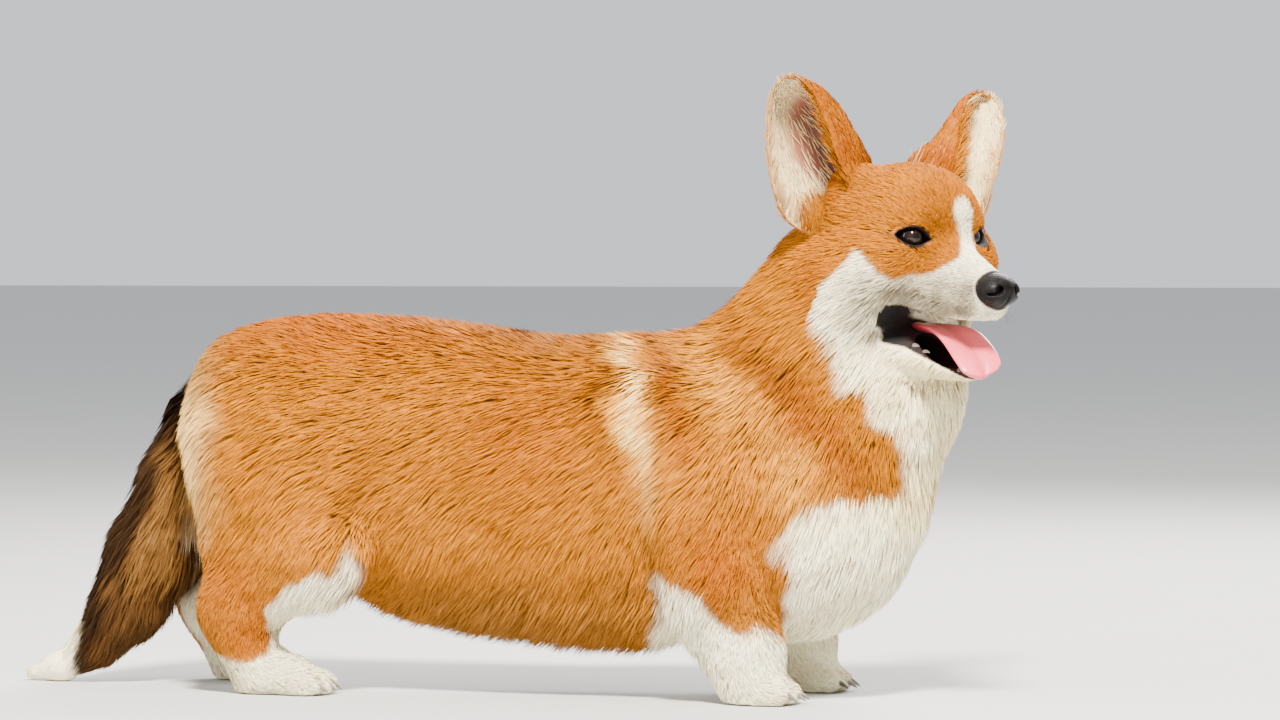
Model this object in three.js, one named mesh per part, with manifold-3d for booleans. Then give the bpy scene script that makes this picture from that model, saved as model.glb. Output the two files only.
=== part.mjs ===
// A Pembroke Welsh corgi standing at rest, life size, in millimetres, +Z up, facing +X, its head to its right.
// The solids give the outline of the coated animal, parted by thin cuts where a person would name its parts.
import * as THREE from "three";
import { mergeVertices } from "three/addons/utils/BufferGeometryUtils.js";
import Module from "manifold-3d";

const wasm = await Module();
wasm.setup();

const GAP = 0.3; // between two nodes that touch
const HALF_GAP = GAP / 2;
const SIDES = { right: -1, left: 1 };
const rad = THREE.MathUtils.degToRad;
const V = (x, y, z) => new THREE.Vector3(x, y, z);
const UP = V(0, 0, 1);

// Trunk with its coat: [x, top, bottom, half width] from the buttocks to the breastbone.
const TRUNK = [
  [-370, 262, 176, 34],
  [-356, 283, 150, 66],
  [-325, 297, 124, 84],
  [-285, 304, 104, 92],
  [-240, 306, 88, 94],
  [-190, 304, 74, 94],
  [-130, 298, 62, 97],
  [-66, 290, 55, 102],
  [-5, 292, 50, 106],
  [55, 292, 52, 106],
  [110, 284, 54, 98],
  [160, 258, 62, 84],
  [200, 226, 84, 62],
  [222, 196, 120, 30],
];
const TRUNK_END = 12; // how far the trunk's ends round off past the first and last station

// Rounded masses under the coat line: [from, to, radius at from, radius at to, width share].
const BIB = [V(130, 0, 142), V(180, -5, 250), 92, 88, 0.9];
const NECK = [V(95, 0, 215), V(170, -12, 318), 84, 70, 1.0];
const SHOULDER_BLADE = [V(20, 74, 232), V(78, 78, 168), 34, 44, 0.8];
const HAUNCH = [V(-300, 50, 218), V(-270, 58, 170), 60, 62, 0.72];

// The spine bends up into the neck round this centre, above the withers.
const NECK_BEND = { x: 20, z: 360, radius: 195, lean: -18 };
const NECK_BASE = { point: V(50, 0, 292), normal: V(0.445, 0, 0.895) };
const NAPE = { point: V(190, -20, 340), normal: V(0.66, -0.28, 0.7) };

// Head frame: the middle of the eye line, then forward, left and up from it.
const EYE_LINE = V(260, -61, 366);
const HEAD_YAW = -36;
const SKULL_MASSES = [
  { at: [-54, 0, 0], radii: [60, 60, 58] },
  { at: [-28, 0, 20], radii: [42, 46, 36] },
  { at: [-30, 38, -20], radii: [40, 30, 34] },
  { at: [-54, 44, -38], radii: [42, 34, 40] },
  { at: [-12, 25, 13], radii: [16, 15, 10] },
  { at: [-64, 38, 32], radii: [24, 22, 28] },
];
const MUZZLE = [V(4, 0, -28), V(48, 0, -42), 31, 19.5, 0.95];
const FLEWS = [V(2, 19, -46), V(39, 8, -52), 15, 12.5, 1.0];
const JAW = [V(-40, 0, -87), V(29, 0, -107), 26, 7.5, 1.85];

// The open mouth in the plane of the head's forward and up: the corner, the upper lip line and the lower one.
const MOUTH = {
  corner: [-23, -56],
  gape: [-23, -77],
  lower: [60, -119],
  upper: [95, -66],
  lip: [20, -66],
  throat: [-50, -128],
};

const EYE = { at: [-9, 29.5, 0], radius: 11, turn: 30, opening: [14, 7], slant: 8, lid: 1.8 };
const NOSE = { at: [56, 0, -41], radii: [17, 17.5, 15] };
const NOSTRIL = { at: [70, 8, -40], radii: [8, 3, 4], turn: 28 };

// Ears in the head frame: rims from the base to the tip. A section runs from the outer rim, round the back of
// the cup, past the inner edge and on to the front rim. Both cups open towards the right front.
const EARS = {
  right: {
    outer: [
      [-84, -54, -4], [-92, -84, 14], [-92, -98, 38], [-90, -105, 62], [-84, -110, 90], [-78, -111, 110],
      [-74, -105, 125],
    ],
    inner: [
      [-60, -14, 26], [-61, -18, 44], [-62, -25, 62], [-63, -40, 85], [-66, -58, 108], [-68, -71, 120],
      [-70, -85, 128],
    ],
    front: [
      [-44, -34, 14], [-49, -50, 36], [-54, -61, 58], [-59, -69, 84], [-64, -75, 105], [-67, -81, 119],
      [-69, -89, 128],
    ],
  },
  left: {
    outer: [
      [-56, 54, -4], [-40, 80, 14], [-34, 93, 42], [-37, 106, 74], [-44, 113, 92], [-53, 114, 107],
      [-62, 107, 117],
    ],
    inner: [
      [-66, 10, 26], [-65, 14, 44], [-64, 22, 61], [-62, 44, 76], [-62, 62, 94], [-62, 84, 111],
      [-63, 100, 118],
    ],
    front: [
      [-46, 32, 14], [-42, 42, 38], [-42, 51, 60], [-46, 60, 78], [-54, 72, 95], [-60, 88, 110],
      [-62, 102, 118],
    ],
  },
};
const EAR_CUP = { away: V(-0.94, 0.35, 0), depth: [2, 25, 3], wall: [5.5, 4.5, 3], rings: 10, steps: 7 };

const TONGUE = {
  path: [V(-26, 0, -70), V(-4, 0, -72), V(16, -1, -79), V(32, -3, -90), V(42, -4, -100), V(46, -5, -107)],
  halfWidth: [12, 14, 16, 17.5, 17, 13],
  halfThickness: 4.5,
  roll: 22,
};

// Where each paw stands: x under the wrist or pastern, and how far out from the middle.
const STANCE = {
  fore: { right: 104, left: 118, out: 65, paw: 8 },
  hind: { right: -300, left: -360, out: 62, paw: 28 },
};
const PAW = { cut: 28, length: 62, width: 25, toes: [-18, -6.5, 6.5, 18], claw: 9 };

// The tail hangs from the croup, brushed out by its hair, its tip on the ground: [bone point, radius].
const TAIL = [
  [V(-338, 0, 256), 19],
  [V(-372, 2, 222), 27],
  [V(-392, 4, 165), 33],
  [V(-416, 6, 104), 36],
  [V(-440, 8, 60), 27],
  [V(-466, 10, 30), 18],
  [V(-495, 12, 12), 11],
  [V(-522, 14, 6), 6],
];
const TAIL_ROOT = { point: V(-354, 0, 256), normal: V(-0.94, 0, -0.34) };

// Distance fields, negative inside.
function smoothUnion(a, b, k) {
  const h = Math.max(k - Math.abs(a - b), 0) / k;
  return Math.min(a, b) - (h * h * k) / 4;
}

function roundCone([a, b, ra, rb, width = 1]) {
  const axis = V(b.x - a.x, (b.y - a.y) / width, b.z - a.z);
  const length = axis.length();
  const dir = axis.divideScalar(length);
  const slope = (ra - rb) / length;
  const lean = slope / Math.sqrt(1 - slope * slope);
  return (p) => {
    const x = p.x - a.x;
    const y = (p.y - a.y) / width;
    const z = p.z - a.z;
    const along = x * dir.x + y * dir.y + z * dir.z;
    const off = Math.sqrt(Math.max(x * x + y * y + z * z - along * along, 0));
    const t = THREE.MathUtils.clamp((along + off * lean) / length, 0, 1);
    return (Math.hypot(off, along - t * length) - (ra + (rb - ra) * t)) * Math.min(1, width);
  };
}

function ellipsoid({ at, radii }) {
  return (p) => {
    const x = (p.x - at[0]) / radii[0];
    const y = (p.y - at[1]) / radii[1];
    const z = (p.z - at[2]) / radii[2];
    const near = Math.hypot(x, y, z);
    const far = Math.hypot(x / radii[0], y / radii[1], z / radii[2]);
    return far < 1e-9 ? -Math.min(...radii) : (near * (near - 1)) / far;
  };
}

const mirrored = (field) => (p) => field({ x: p.x, y: Math.abs(p.y), z: p.z });
const joined = (parts, k) => (p) => parts.reduce((d, part) => smoothUnion(d, part(p), k), 1e3);

const trunkCurves = [1, 2, 3].map(
  (column) => new THREE.CatmullRomCurve3(TRUNK.map((s) => V(s[0], s[column], 0)), false, "centripetal"),
);
function trunkAt(x) {
  const last = TRUNK.length - 1;
  const next = TRUNK.findIndex((s, i) => i > 0 && (s[0] >= x || i === last));
  const t = THREE.MathUtils.clamp((x - TRUNK[next - 1][0]) / (TRUNK[next][0] - TRUNK[next - 1][0]), 0, 1);
  return trunkCurves.map((curve) => curve.getPoint((next - 1 + t) / last).y);
}

function trunk(p) {
  const [first, last] = [TRUNK[0][0], TRUNK[TRUNK.length - 1][0]];
  const [top, bottom, half] = trunkAt(THREE.MathUtils.clamp(p.x, first, last));
  const height = (top - bottom) / 2;
  const past = Math.max(first - p.x, p.x - last, 0) / TRUNK_END;
  const across = Math.hypot(p.y / half, (p.z - (top + bottom) / 2) / height);
  return (Math.hypot(across, past) - 1) * Math.min(half, height);
}

// The head frame's turn and place, and points carried into it and out of it.
const headTurn = new THREE.Matrix4().makeRotationZ(rad(HEAD_YAW)).setPosition(EYE_LINE);
const toHead = headTurn.clone().invert();
const inHead = (f, l, u) => V(f, l, u).applyMatrix4(headTurn);

const skullField = mirrored(
  joined([...SKULL_MASSES.map(ellipsoid), roundCone(MUZZLE), roundCone(FLEWS)], 16),
);
const jawField = roundCone(JAW);
const local = V(0, 0, 0);
const headField = (p) => skullField(local.copy(p).applyMatrix4(toHead));
const jawPlaced = (p) => jawField(local.copy(p).applyMatrix4(toHead));

const throatMasses = joined([roundCone(BIB), roundCone(NECK)], 30);
const sideMasses = [mirrored(roundCone(SHOULDER_BLADE)), mirrored(roundCone(HAUNCH))];
const headAndNeck = (p) => smoothUnion(throatMasses(p), headField(p), 22);
function bodyField(p) {
  let d = smoothUnion(trunk(p), throatMasses(p), 30);
  for (const mass of sideMasses) d = smoothUnion(d, mass(p), 24);
  return smoothUnion(d, headField(p), 22);
}

// How deep the long coat is at a point: the core stays this far under the outline, and locks fill the rest.
const COAT = { ruff: 15, belly: 14, breeches: 13, feather: 12, tail: 0.42 };
const ramp = (value, from, to) => THREE.MathUtils.clamp((value - from) / (to - from), 0, 1);
function coatDepth(p) {
  const ruff = ramp(p.x, 30, 95) * ramp(headField(p), 0, 34);
  const belly = ramp(p.z, 104, 78) * ramp(p.x, -225, -180) * ramp(p.x, 175, 120);
  const breeches = ramp(p.x, -332, -352) * ramp(p.z, 76, 110) * ramp(p.z, 262, 236);
  return Math.max(COAT.ruff * ruff, COAT.belly * belly, COAT.breeches * breeches);
}
const bodyCore = (p) => bodyField(p) + coatDepth(p);

// The distance from a point inside a field, along a direction, to the field's surface.
function reach(field, origin, dir, level) {
  const step = 4;
  const p = V(0, 0, 0);
  const at = (t) => field(p.copy(dir).multiplyScalar(t).add(origin));
  let far = step;
  while (at(far) < level && far < 400) far += step;
  let near = far - step;
  for (let i = 0; i < 12; i++) {
    const middle = (near + far) / 2;
    if (at(middle) < level) near = middle;
    else far = middle;
  }
  return (near + far) / 2;
}

// A closed skin cast outward from a spine onto a field: rings along the spine, and a rounded cap at each end.
function castLoft(field, spine, { rings, sides, caps = 3, level = 0, up = UP }) {
  const curve = new THREE.CatmullRomCurve3(spine, false, "centripetal");
  const capAngle = 90 / (caps + 1);
  const rows = [];
  for (let i = 1; i <= caps; i++) rows.push([0, capAngle * i - 90]);
  for (let i = 0; i < rings; i++) rows.push([i / (rings - 1), 0]);
  for (let i = caps; i >= 1; i--) rows.push([1, 90 - capAngle * i]);
  const shoot = (u, angle, polar) => {
    const along = curve.getTangentAt(u);
    const side = V(0, 0, 0).crossVectors(up, along).normalize();
    const rise = V(0, 0, 0).crossVectors(along, side);
    const flat = Math.cos(rad(polar));
    const dir = side.multiplyScalar(Math.cos(angle) * flat);
    dir.addScaledVector(rise, Math.sin(angle) * flat).addScaledVector(along, Math.sin(rad(polar)));
    const origin = curve.getPointAt(u);
    return origin.addScaledVector(dir, reach(field, origin, dir, level));
  };
  const points = rows.flatMap(([u, polar]) =>
    Array.from({ length: sides }, (_, s) => shoot(u, (2 * Math.PI * s) / sides, polar)),
  );
  return solidOf(closedTube([...points, shoot(0, 0, -90), shoot(1, 0, 90)], rows.length, sides));
}

// A tube whose points run ring by ring, then its two end points.
function closedTube(points, rings, sides) {
  const index = [];
  const start = rings * sides;
  for (let s = 0; s < sides; s++) {
    const next = (s + 1) % sides;
    const last = (rings - 1) * sides;
    index.push(start, next, s, start + 1, last + s, last + next);
    for (let r = 0; r < last; r += sides) {
      index.push(r + s, r + next, r + next + sides, r + s, r + next + sides, r + s + sides);
    }
  }
  return new THREE.BufferGeometry().setFromPoints(points).setIndex(index);
}

function solidOf(geometry) {
  const bare = geometry.clone();
  bare.deleteAttribute("normal");
  bare.deleteAttribute("uv");
  const merged = mergeVertices(bare, 1e-4);
  const made = new wasm.Manifold(
    new wasm.Mesh({
      numProp: 3,
      vertProperties: new Float32Array(merged.attributes.position.array),
      triVerts: new Uint32Array(merged.index.array),
    }),
  );
  if (made.volume() < 0) throw new Error("a geometry is inside out");
  return made;
}

function geometryOf(solid) {
  const mesh = solid.getMesh();
  const positions = new Float32Array(mesh.numVert * 3);
  for (let i = 0; i < mesh.numVert; i++)
    positions.set(mesh.vertProperties.subarray(i * mesh.numProp, i * mesh.numProp + 3), i * 3);
  const geometry = new THREE.BufferGeometry();
  geometry.setAttribute("position", new THREE.BufferAttribute(positions, 3));
  geometry.setIndex(new THREE.BufferAttribute(mesh.triVerts, 1));
  geometry.computeVertexNormals();
  return geometry;
}

const largest = (solid) =>
  solid.decompose().reduce((best, piece) => (piece.volume() > best.volume() ? piece : best));
const unionOf = (solids) => solids.reduce((all, solid) => all.add(solid));

// All space on the side of a plane that its normal points to, starting a little way along the normal.
const FAR = 1500;
function halfSpace({ point, normal }, offset = HALF_GAP) {
  const box = new THREE.BoxGeometry(2 * FAR, 2 * FAR, 2 * FAR);
  const n = normal.clone().normalize();
  const centre = point.clone().addScaledVector(n, FAR + offset);
  box.applyQuaternion(new THREE.Quaternion().setFromUnitVectors(UP, n));
  return solidOf(box.translate(centre.x, centre.y, centre.z));
}
const behind = ({ point, normal }) => halfSpace({ point, normal: normal.clone().negate() });

// A prism over an outline in the x and z plane, from one y to another, swollen or shrunk by an offset.
function sidePrism(outline, near, far, offset, place = new THREE.Matrix4()) {
  const count = outline.length;
  const moved = outline.map(([x, z], i) => {
    const [px, pz] = outline[(i + count - 1) % count];
    const [nx, nz] = outline[(i + 1) % count];
    const before = new THREE.Vector2(z - pz, px - x).normalize();
    const after = new THREE.Vector2(nz - z, x - nx).normalize();
    const mitre = before.clone().add(after).normalize();
    return new THREE.Vector2(x, z).addScaledVector(mitre, offset / mitre.dot(after));
  });
  const depth = Math.abs(far - near) + 2 * offset;
  const prism = new THREE.ExtrudeGeometry(new THREE.Shape(moved), { depth, bevelEnabled: false, steps: 1 });
  prism.rotateX(Math.PI / 2).translate(0, Math.max(near, far) + offset, 0);
  return solidOf(prism.applyMatrix4(place));
}

const ball = (radii, detail) =>
  new THREE.SphereGeometry(1, detail, Math.round(detail * 0.7)).scale(...radii);
const placedBall = (at, radii, detail) => solidOf(ball(radii, detail).translate(...at));

// A steady stream of numbers from 0 to 1 for the small differences between locks.
let seed = 43;
function random() {
  seed = (seed * 16807) % 2147483647;
  return seed / 2147483647;
}
const vary = (value, share) => value * (1 + share * (2 * random() - 1));

// Moves a point to a level of a field along its steepest way, and gives the outward direction there.
function settle(field, p, level) {
  const h = 0.5;
  const slope = V(0, 0, 0);
  for (let i = 0; i < 3; i++) {
    const { x, y, z } = p;
    slope.set(
      field(V(x + h, y, z)) - field(V(x - h, y, z)),
      field(V(x, y + h, z)) - field(V(x, y - h, z)),
      field(V(x, y, z + h)) - field(V(x, y, z - h)),
    );
    const steepness = slope.length() / (2 * h);
    p.addScaledVector(slope.normalize(), (level - field(p)) / Math.max(steepness, 0.5));
  }
  return slope;
}

// A lock: flat and tapered, rooted under the core, lying along the coat and rising to the outline at its tip.
const LOCK = { steps: 3, sink: 5, fullest: 0.4, edge: 0.16 };
function lockSolid(field, root, lie, { length, width, thick, depth, tip }) {
  const p = root.clone();
  const points = [];
  let end = p;
  for (let i = 0; i <= LOCK.steps; i++) {
    const t = i / LOCK.steps;
    const level = THREE.MathUtils.lerp(-depth - LOCK.sink, tip, t ** 0.6);
    const out = settle(field, p, level);
    const flow = lie(p, out);
    flow.addScaledVector(out, -flow.dot(out)).normalize();
    const taper = ((1 - t) / (1 - LOCK.fullest)) ** 0.7;
    const swell = t < LOCK.fullest ? 0.7 + (0.3 * t) / LOCK.fullest : taper;
    const side = V(0, 0, 0).crossVectors(out, flow).multiplyScalar((width * swell) / 2);
    const rise = out.multiplyScalar(thick * (swell + LOCK.edge));
    if (i < LOCK.steps) {
      points.push(p.clone().add(side), p.clone().add(rise), p.clone().sub(side));
    }
    end = p.clone();
    p.addScaledVector(flow, length / LOCK.steps);
  }
  const start = root.clone();
  settle(field, start, -depth - LOCK.sink - 2);
  return solidOf(closedTube([...points, start, end], LOCK.steps, 3));
}

// Locks in staggered rows: each row is cast outward from the spine over a range of angles.
function lockRows(field, spine, rows, lie, { up = UP, ...look }) {
  const curve = new THREE.CatmullRomCurve3(spine, false, "centripetal");
  return rows.flatMap(({ at, from, to, count, ...own }, rowNumber) => {
    const along = curve.getTangentAt(at);
    const side = V(0, 0, 0).crossVectors(up, along).normalize();
    const rise = V(0, 0, 0).crossVectors(along, side);
    return Array.from({ length: count }, (_, i) => {
      const share = (i + 0.5 + (rowNumber % 2 ? 0.25 : -0.25) + 0.16 * (random() - 0.5)) / count;
      const angle = rad(from + (to - from) * share);
      const dir = side.clone().multiplyScalar(Math.cos(angle)).addScaledVector(rise, Math.sin(angle));
      const origin = curve.getPointAt(at);
      const root = origin.clone().addScaledVector(dir, reach(field, origin, dir, 0));
      const size = { ...look, ...own };
      const varied = { ...size, length: vary(size.length, 0.14), width: vary(size.width, 0.12) };
      return lockSolid(field, root, lie, varied);
    });
  });
}

const group = new THREE.Group();
const looks = {
  red: { color: 0xd88a3a, roughness: 0.9 },
  white: { color: 0xf0e8da, roughness: 0.9 },
  sable: { color: 0x6a4a33, roughness: 0.9 },
  black: { color: 0x17130f, roughness: 0.4 },
  eye: { color: 0x1d0f08, roughness: 0.1 },
  tongue: { color: 0xe0707a, roughness: 0.45 },
};
function addNode(name, solid, look) {
  const material = new THREE.MeshStandardMaterial({ name: look, metalness: 0, ...looks[look] });
  const mesh = new THREE.Mesh(geometryOf(solid), material);
  mesh.name = name;
  group.add(mesh);
}

// The trunk and neck in one, cast from a spine that bends round the withers.
const bend = (angle) =>
  V(
    NECK_BEND.x + NECK_BEND.radius * Math.cos(rad(angle)),
    NECK_BEND.lean * (1 + angle / 90),
    NECK_BEND.z + NECK_BEND.radius * Math.sin(rad(angle)),
  );
const BODY_SPINE = [
  V(-335, 0, 215), V(-200, 0, 185), V(-80, 0, 166),
  ...[-90, -72, -54, -36, -18, -4].map(bend),
];
const bodyShape = { rings: 21, sides: 20, caps: 2 };
const body = castLoft(bodyCore, BODY_SPINE, bodyShape);
const bodyRoom = castLoft(bodyField, BODY_SPINE, { ...bodyShape, level: 2 * GAP });

// The ruff and bib: hair runs back and down over the neck and straight down the chest.
function ruffLie(p, out) {
  const front = ramp(out.x, 0.1, 0.75);
  return V(-0.8 * (1 - front), 0, -0.62 - 0.4 * front);
}
const ruffLook = { length: 88, width: 54, thick: 7, depth: COAT.ruff, tip: 0 };
const ruffRows = [
  { at: 0.93, from: 165, to: 375, count: 6, length: 62, width: 52 },
  { at: 0.85, from: 165, to: 375, count: 7, length: 74 },
  { at: 0.77, from: 165, to: 375, count: 7 },
  { at: 0.69, from: 170, to: 370, count: 7 },
  { at: 0.61, from: 190, to: 350, count: 6 },
];
const ruff = lockRows(bodyField, BODY_SPINE, ruffRows, ruffLie, ruffLook);

// The belly fringe hangs back and down from the lower edge of the trunk.
const fringeLie = (p) => V(-0.7, p.y * 0.002, -0.7);
const fringeLook = { length: 64, width: 50, thick: 7, depth: COAT.belly, tip: 4 };
const fringeRows = [0.3, 0.37, 0.44, 0.51].map((at) => ({ at, from: 214, to: 326, count: 4 }));
const fringe = lockRows(bodyField, BODY_SPINE, fringeRows, fringeLie, fringeLook);

// Legs: round cones from the body down to the foot, and a spine to cast their skin from.
function legShape(kind, side) {
  const y = SIDES[side];
  const x = STANCE[kind][side];
  const s = y * STANCE[kind].out;
  if (kind === "fore") {
    const elbow = V(x - 26, y * 74, 104);
    const wrist = V(x, s, 46);
    return {
      masses: [
        [V(40, y * 72, 215), V(62, y * 80, 150), 38, 42, 0.8],
        [V(62, y * 80, 150), elbow, 42, 38, 0.9],
        [elbow, wrist, 37, 26],
        [V(x - 38, y * 68, 84), V(x - 16, s, 38), 26, 20],
        [wrist, V(x + 4, s, 10), 26, 25],
      ],
      spine: [V(50, y * 74, 200), V(62, y * 77, 150), V(x - 24, y * 73, 100), wrist, V(x + 2, s, 14)],
    };
  }
  const back = (x - STANCE.hind.right) * 0.75;
  const knee = V(-244 + back, y * 70, 118);
  const hock = V(x - 20, s, 66);
  return {
    masses: [
      [V(-305, y * 52, 222), V(-285, y * 58, 176), 60, 64, 0.74],
      [V(-285, y * 58, 176), knee, 60, 42, 0.78],
      [V(-312 + back * 0.4, y * 56, 190), V(-312 + back, y * 60, 120), 56, 40, 0.7],
      [knee, hock, 40, 28, 0.95],
      [hock, V(x, s, 14), 27, 23],
    ],
    spine: [
      V(-302, y * 50, 222),
      V(-292 + back * 0.4, y * 58, 168),
      V(-284 + back, y * 64, 118),
      V(x + 2, s, 76),
      V(x - 4, s, 44),
      V(x, s, 14),
    ],
  };
}

// A paw: a rounded pad and instep, four toes in a shallow arch, and a claw on each.
function pawSolid(x, y) {
  const parts = [
    placedBall([x - PAW.length * 0.1, y, 14], [PAW.length * 0.42, PAW.width, 20], 10),
  ];
  PAW.toes.forEach((offset) => {
    const toe = x + PAW.length * 0.32 - Math.abs(offset) * 0.4;
    parts.push(placedBall([toe, y + offset, 9], [17, 9.5, 12], 6));
    const claw = new THREE.ConeGeometry(2, PAW.claw, 3).rotateZ(rad(-105));
    parts.push(solidOf(claw.translate(toe + 18, y + offset, 6)));
  });
  return unionOf(parts);
}

// Which space is a leg's own, seen from the side: everything out from the inner plane within this outline.
function legOutline(kind, side) {
  const x = STANCE[kind][side];
  const arch = (cx, cz, r, from, to, steps) =>
    Array.from({ length: steps + 1 }, (_, i) => {
      const angle = rad(from + ((to - from) * i) / steps);
      return [cx + r * Math.cos(angle), cz + r * Math.sin(angle)];
    });
  if (kind === "fore") {
    return [...arch(62, 138, 56, 0, 180, 8), [2, 60], [20, -5], [x + 62, -5], [x + 50, 60]];
  }
  const front = [[x + 100, -5], [-196 + (x + 300) * 0.6, 120]];
  return [...front, ...arch(-292, 190, 76, -10, 176, 9), [-400, 150], [x - 60, 110], [x - 60, -5]];
}
const LEG_INNER = 32; // the inner plane's distance from the middle
const LEG_OUTER = 150;

// Long hair behind each forearm and thigh, which hangs down with a slight sweep back.
function legCoat(kind, side, p) {
  const x = STANCE[kind][side];
  if (kind === "fore") return COAT.feather * ramp(p.x, x - 22, x - 36) * ramp(p.z, 26, 40);
  return COAT.breeches * ramp(p.x, x - 34, x - 52) * ramp(p.z, 80, 105);
}
const legLie = { fore: () => V(-0.3, 0, -1), hind: () => V(-0.1, 0, -1) };
const legRows = {
  fore: [
    { at: 0.44, from: 225, to: 315, count: 2 },
    { at: 0.66, from: 220, to: 320, count: 2, length: 40 },
  ],
  hind: [
    { at: 0.26, from: 215, to: 325, count: 3 },
    { at: 0.4, from: 215, to: 325, count: 2 },
    { at: 0.52, from: 225, to: 315, count: 2, length: 44 },
  ],
};
const legLook = {
  fore: { length: 50, width: 32, thick: 6, depth: COAT.feather, tip: 2, up: V(1, 0, 0) },
  hind: { length: 66, width: 40, thick: 7, depth: COAT.breeches, tip: 1, up: V(1, 0, 0) },
};

// The breeches under the tail, above where the thighs part.
const RUMP_SPINE = [V(-305, 0, 230), V(-305, 0, 205), V(-305, 0, 175)];
const rumpRows = [0.05, 0.9].map((at) => ({ at, from: 212, to: 328, count: 4 }));
const rumpLook = { ...legLook.hind, length: 54, width: 46, tip: -2 };
const breeches = lockRows(bodyField, RUMP_SPINE, rumpRows, legLie.hind, rumpLook);

const legs = {};
for (const kind of ["fore", "hind"])
  for (const side of ["right", "left"]) {
    const { masses, spine } = legShape(kind, side);
    const field = joined(masses.map(roundCone), 20);
    const core = (p) => field(p) + legCoat(kind, side, p);
    const leg = castLoft(core, spine, { rings: 11, sides: 12, caps: 2, up: V(1, 0, 0) });
    const paw = pawSolid(STANCE[kind][side] + STANCE[kind].paw, SIDES[side] * STANCE[kind].out);
    const outline = legOutline(kind, side);
    const region = (offset) =>
      sidePrism(outline, SIDES[side] * LEG_INNER, SIDES[side] * LEG_OUTER, offset);
    const locks = lockRows(field, spine, legRows[kind], legLie[kind], legLook[kind]);
    const solid = unionOf([leg, paw, ...locks]);
    legs[kind + side] = { solid, own: region(-HALF_GAP), room: region(HALF_GAP) };
  }

const floor = halfSpace({ point: V(0, 0, 0), normal: UP }, 0);

// The tail, held clear of the rump by a plane through its root.
const tailField = joined(
  TAIL.slice(1).map(([point, radius], i) => roundCone([TAIL[i][0], point, TAIL[i][1], radius])),
  10,
);
const tailSpine = TAIL.map(([point]) => point);
const tailShape = { rings: 14, sides: 10, up: V(0, 1, 0) };
const tailCore = joined(
  TAIL.slice(1).map(([point, radius], i) => {
    const share = (r, n) => (n > 5 ? r : r * (1 - COAT.tail));
    return roundCone([TAIL[i][0], point, share(TAIL[i][1], i), share(radius, i + 1)]);
  }),
  10,
);
const tailLook = { length: 84, width: 38, thick: 6, depth: 13, tip: -2, up: V(0, 1, 0) };
const tailRows = [[0.14, 4], [0.28, 4], [0.42, 4], [0.56, 4], [0.7, 3]].map(([at, count]) => {
  return { at, from: 0, to: 360, count };
});
const tailCurve = new THREE.CatmullRomCurve3(tailSpine, false, "centripetal");
const tailWay = tailCurve.getSpacedPoints(24);
function tailLie(p) {
  const closer = (best, q, i) => (q.distanceTo(p) < tailWay[best].distanceTo(p) ? i : best);
  const near = tailWay.reduce(closer, 0);
  return tailCurve.getTangentAt(near / 24);
}
const tailLocks = lockRows(tailField, tailSpine, tailRows, tailLie, tailLook);
const tailSpace = halfSpace(TAIL_ROOT);
const tail = unionOf([castLoft(tailCore, tailSpine, tailShape), ...tailLocks])
  .intersect(tailSpace)
  .intersect(floor);
const tailRoom = castLoft(tailField, tailSpine, { ...tailShape, level: 3 }).intersect(
  halfSpace(TAIL_ROOT, -HALF_GAP),
);

const ankle = { point: V(0, 0, PAW.cut), normal: UP };
const locks = [...ruff, ...fringe, ...breeches];
const whole = unionOf([body, ...locks, ...Object.values(legs).map((leg) => leg.solid)]).intersect(floor);
for (const [name, leg] of Object.entries(legs)) {
  const kind = name.slice(0, 4);
  const side = name.slice(4);
  const own = whole.intersect(leg.own).subtract(tailRoom);
  addNode(`${kind}leg_${side}`, largest(own.intersect(halfSpace(ankle))), "red");
  addNode(`${kind}paw_${side}`, largest(own.intersect(behind(ankle))), "white");
}

const legRoom = unionOf(Object.values(legs).map((leg) => leg.room));
const torso = whole.intersect(behind(NECK_BASE)).subtract(legRoom).subtract(tailRoom);
addNode("torso", largest(torso), "red");
addNode("tail", largest(tail), "sable");

// The head: skull and upper jaw, with the lower jaw parted along the mouth.
const HEAD_SPINE = [inHead(-78, 0, 0), inHead(-40, 0, -4), inHead(0, 0, -26), inHead(52, 0, -42)];
const skullShape = { rings: 16, sides: 24 };
const skull = castLoft(headAndNeck, HEAD_SPINE, skullShape);
const jawSpine = [inHead(-36, 0, -82), inHead(-10, 0, -92), inHead(24, 0, -105)];
const jaw = castLoft(jawPlaced, jawSpine, { rings: 7, sides: 12 });
const across = (outline, offset) => sidePrism(outline, -90, 90, offset, headTurn);
const { corner, gape, lower, upper, lip, throat } = MOUTH;
const jawOutline = [gape, throat, [lower[0], throat[1] - 10], lower];
const openMouth = across([corner, gape, lower, [upper[0], lower[1]], upper, lip], HALF_GAP);
const jawRoom = castLoft(jawPlaced, jawSpine, { rings: 7, sides: 12, level: GAP }).intersect(
  across(jawOutline, HALF_GAP),
);

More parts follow.
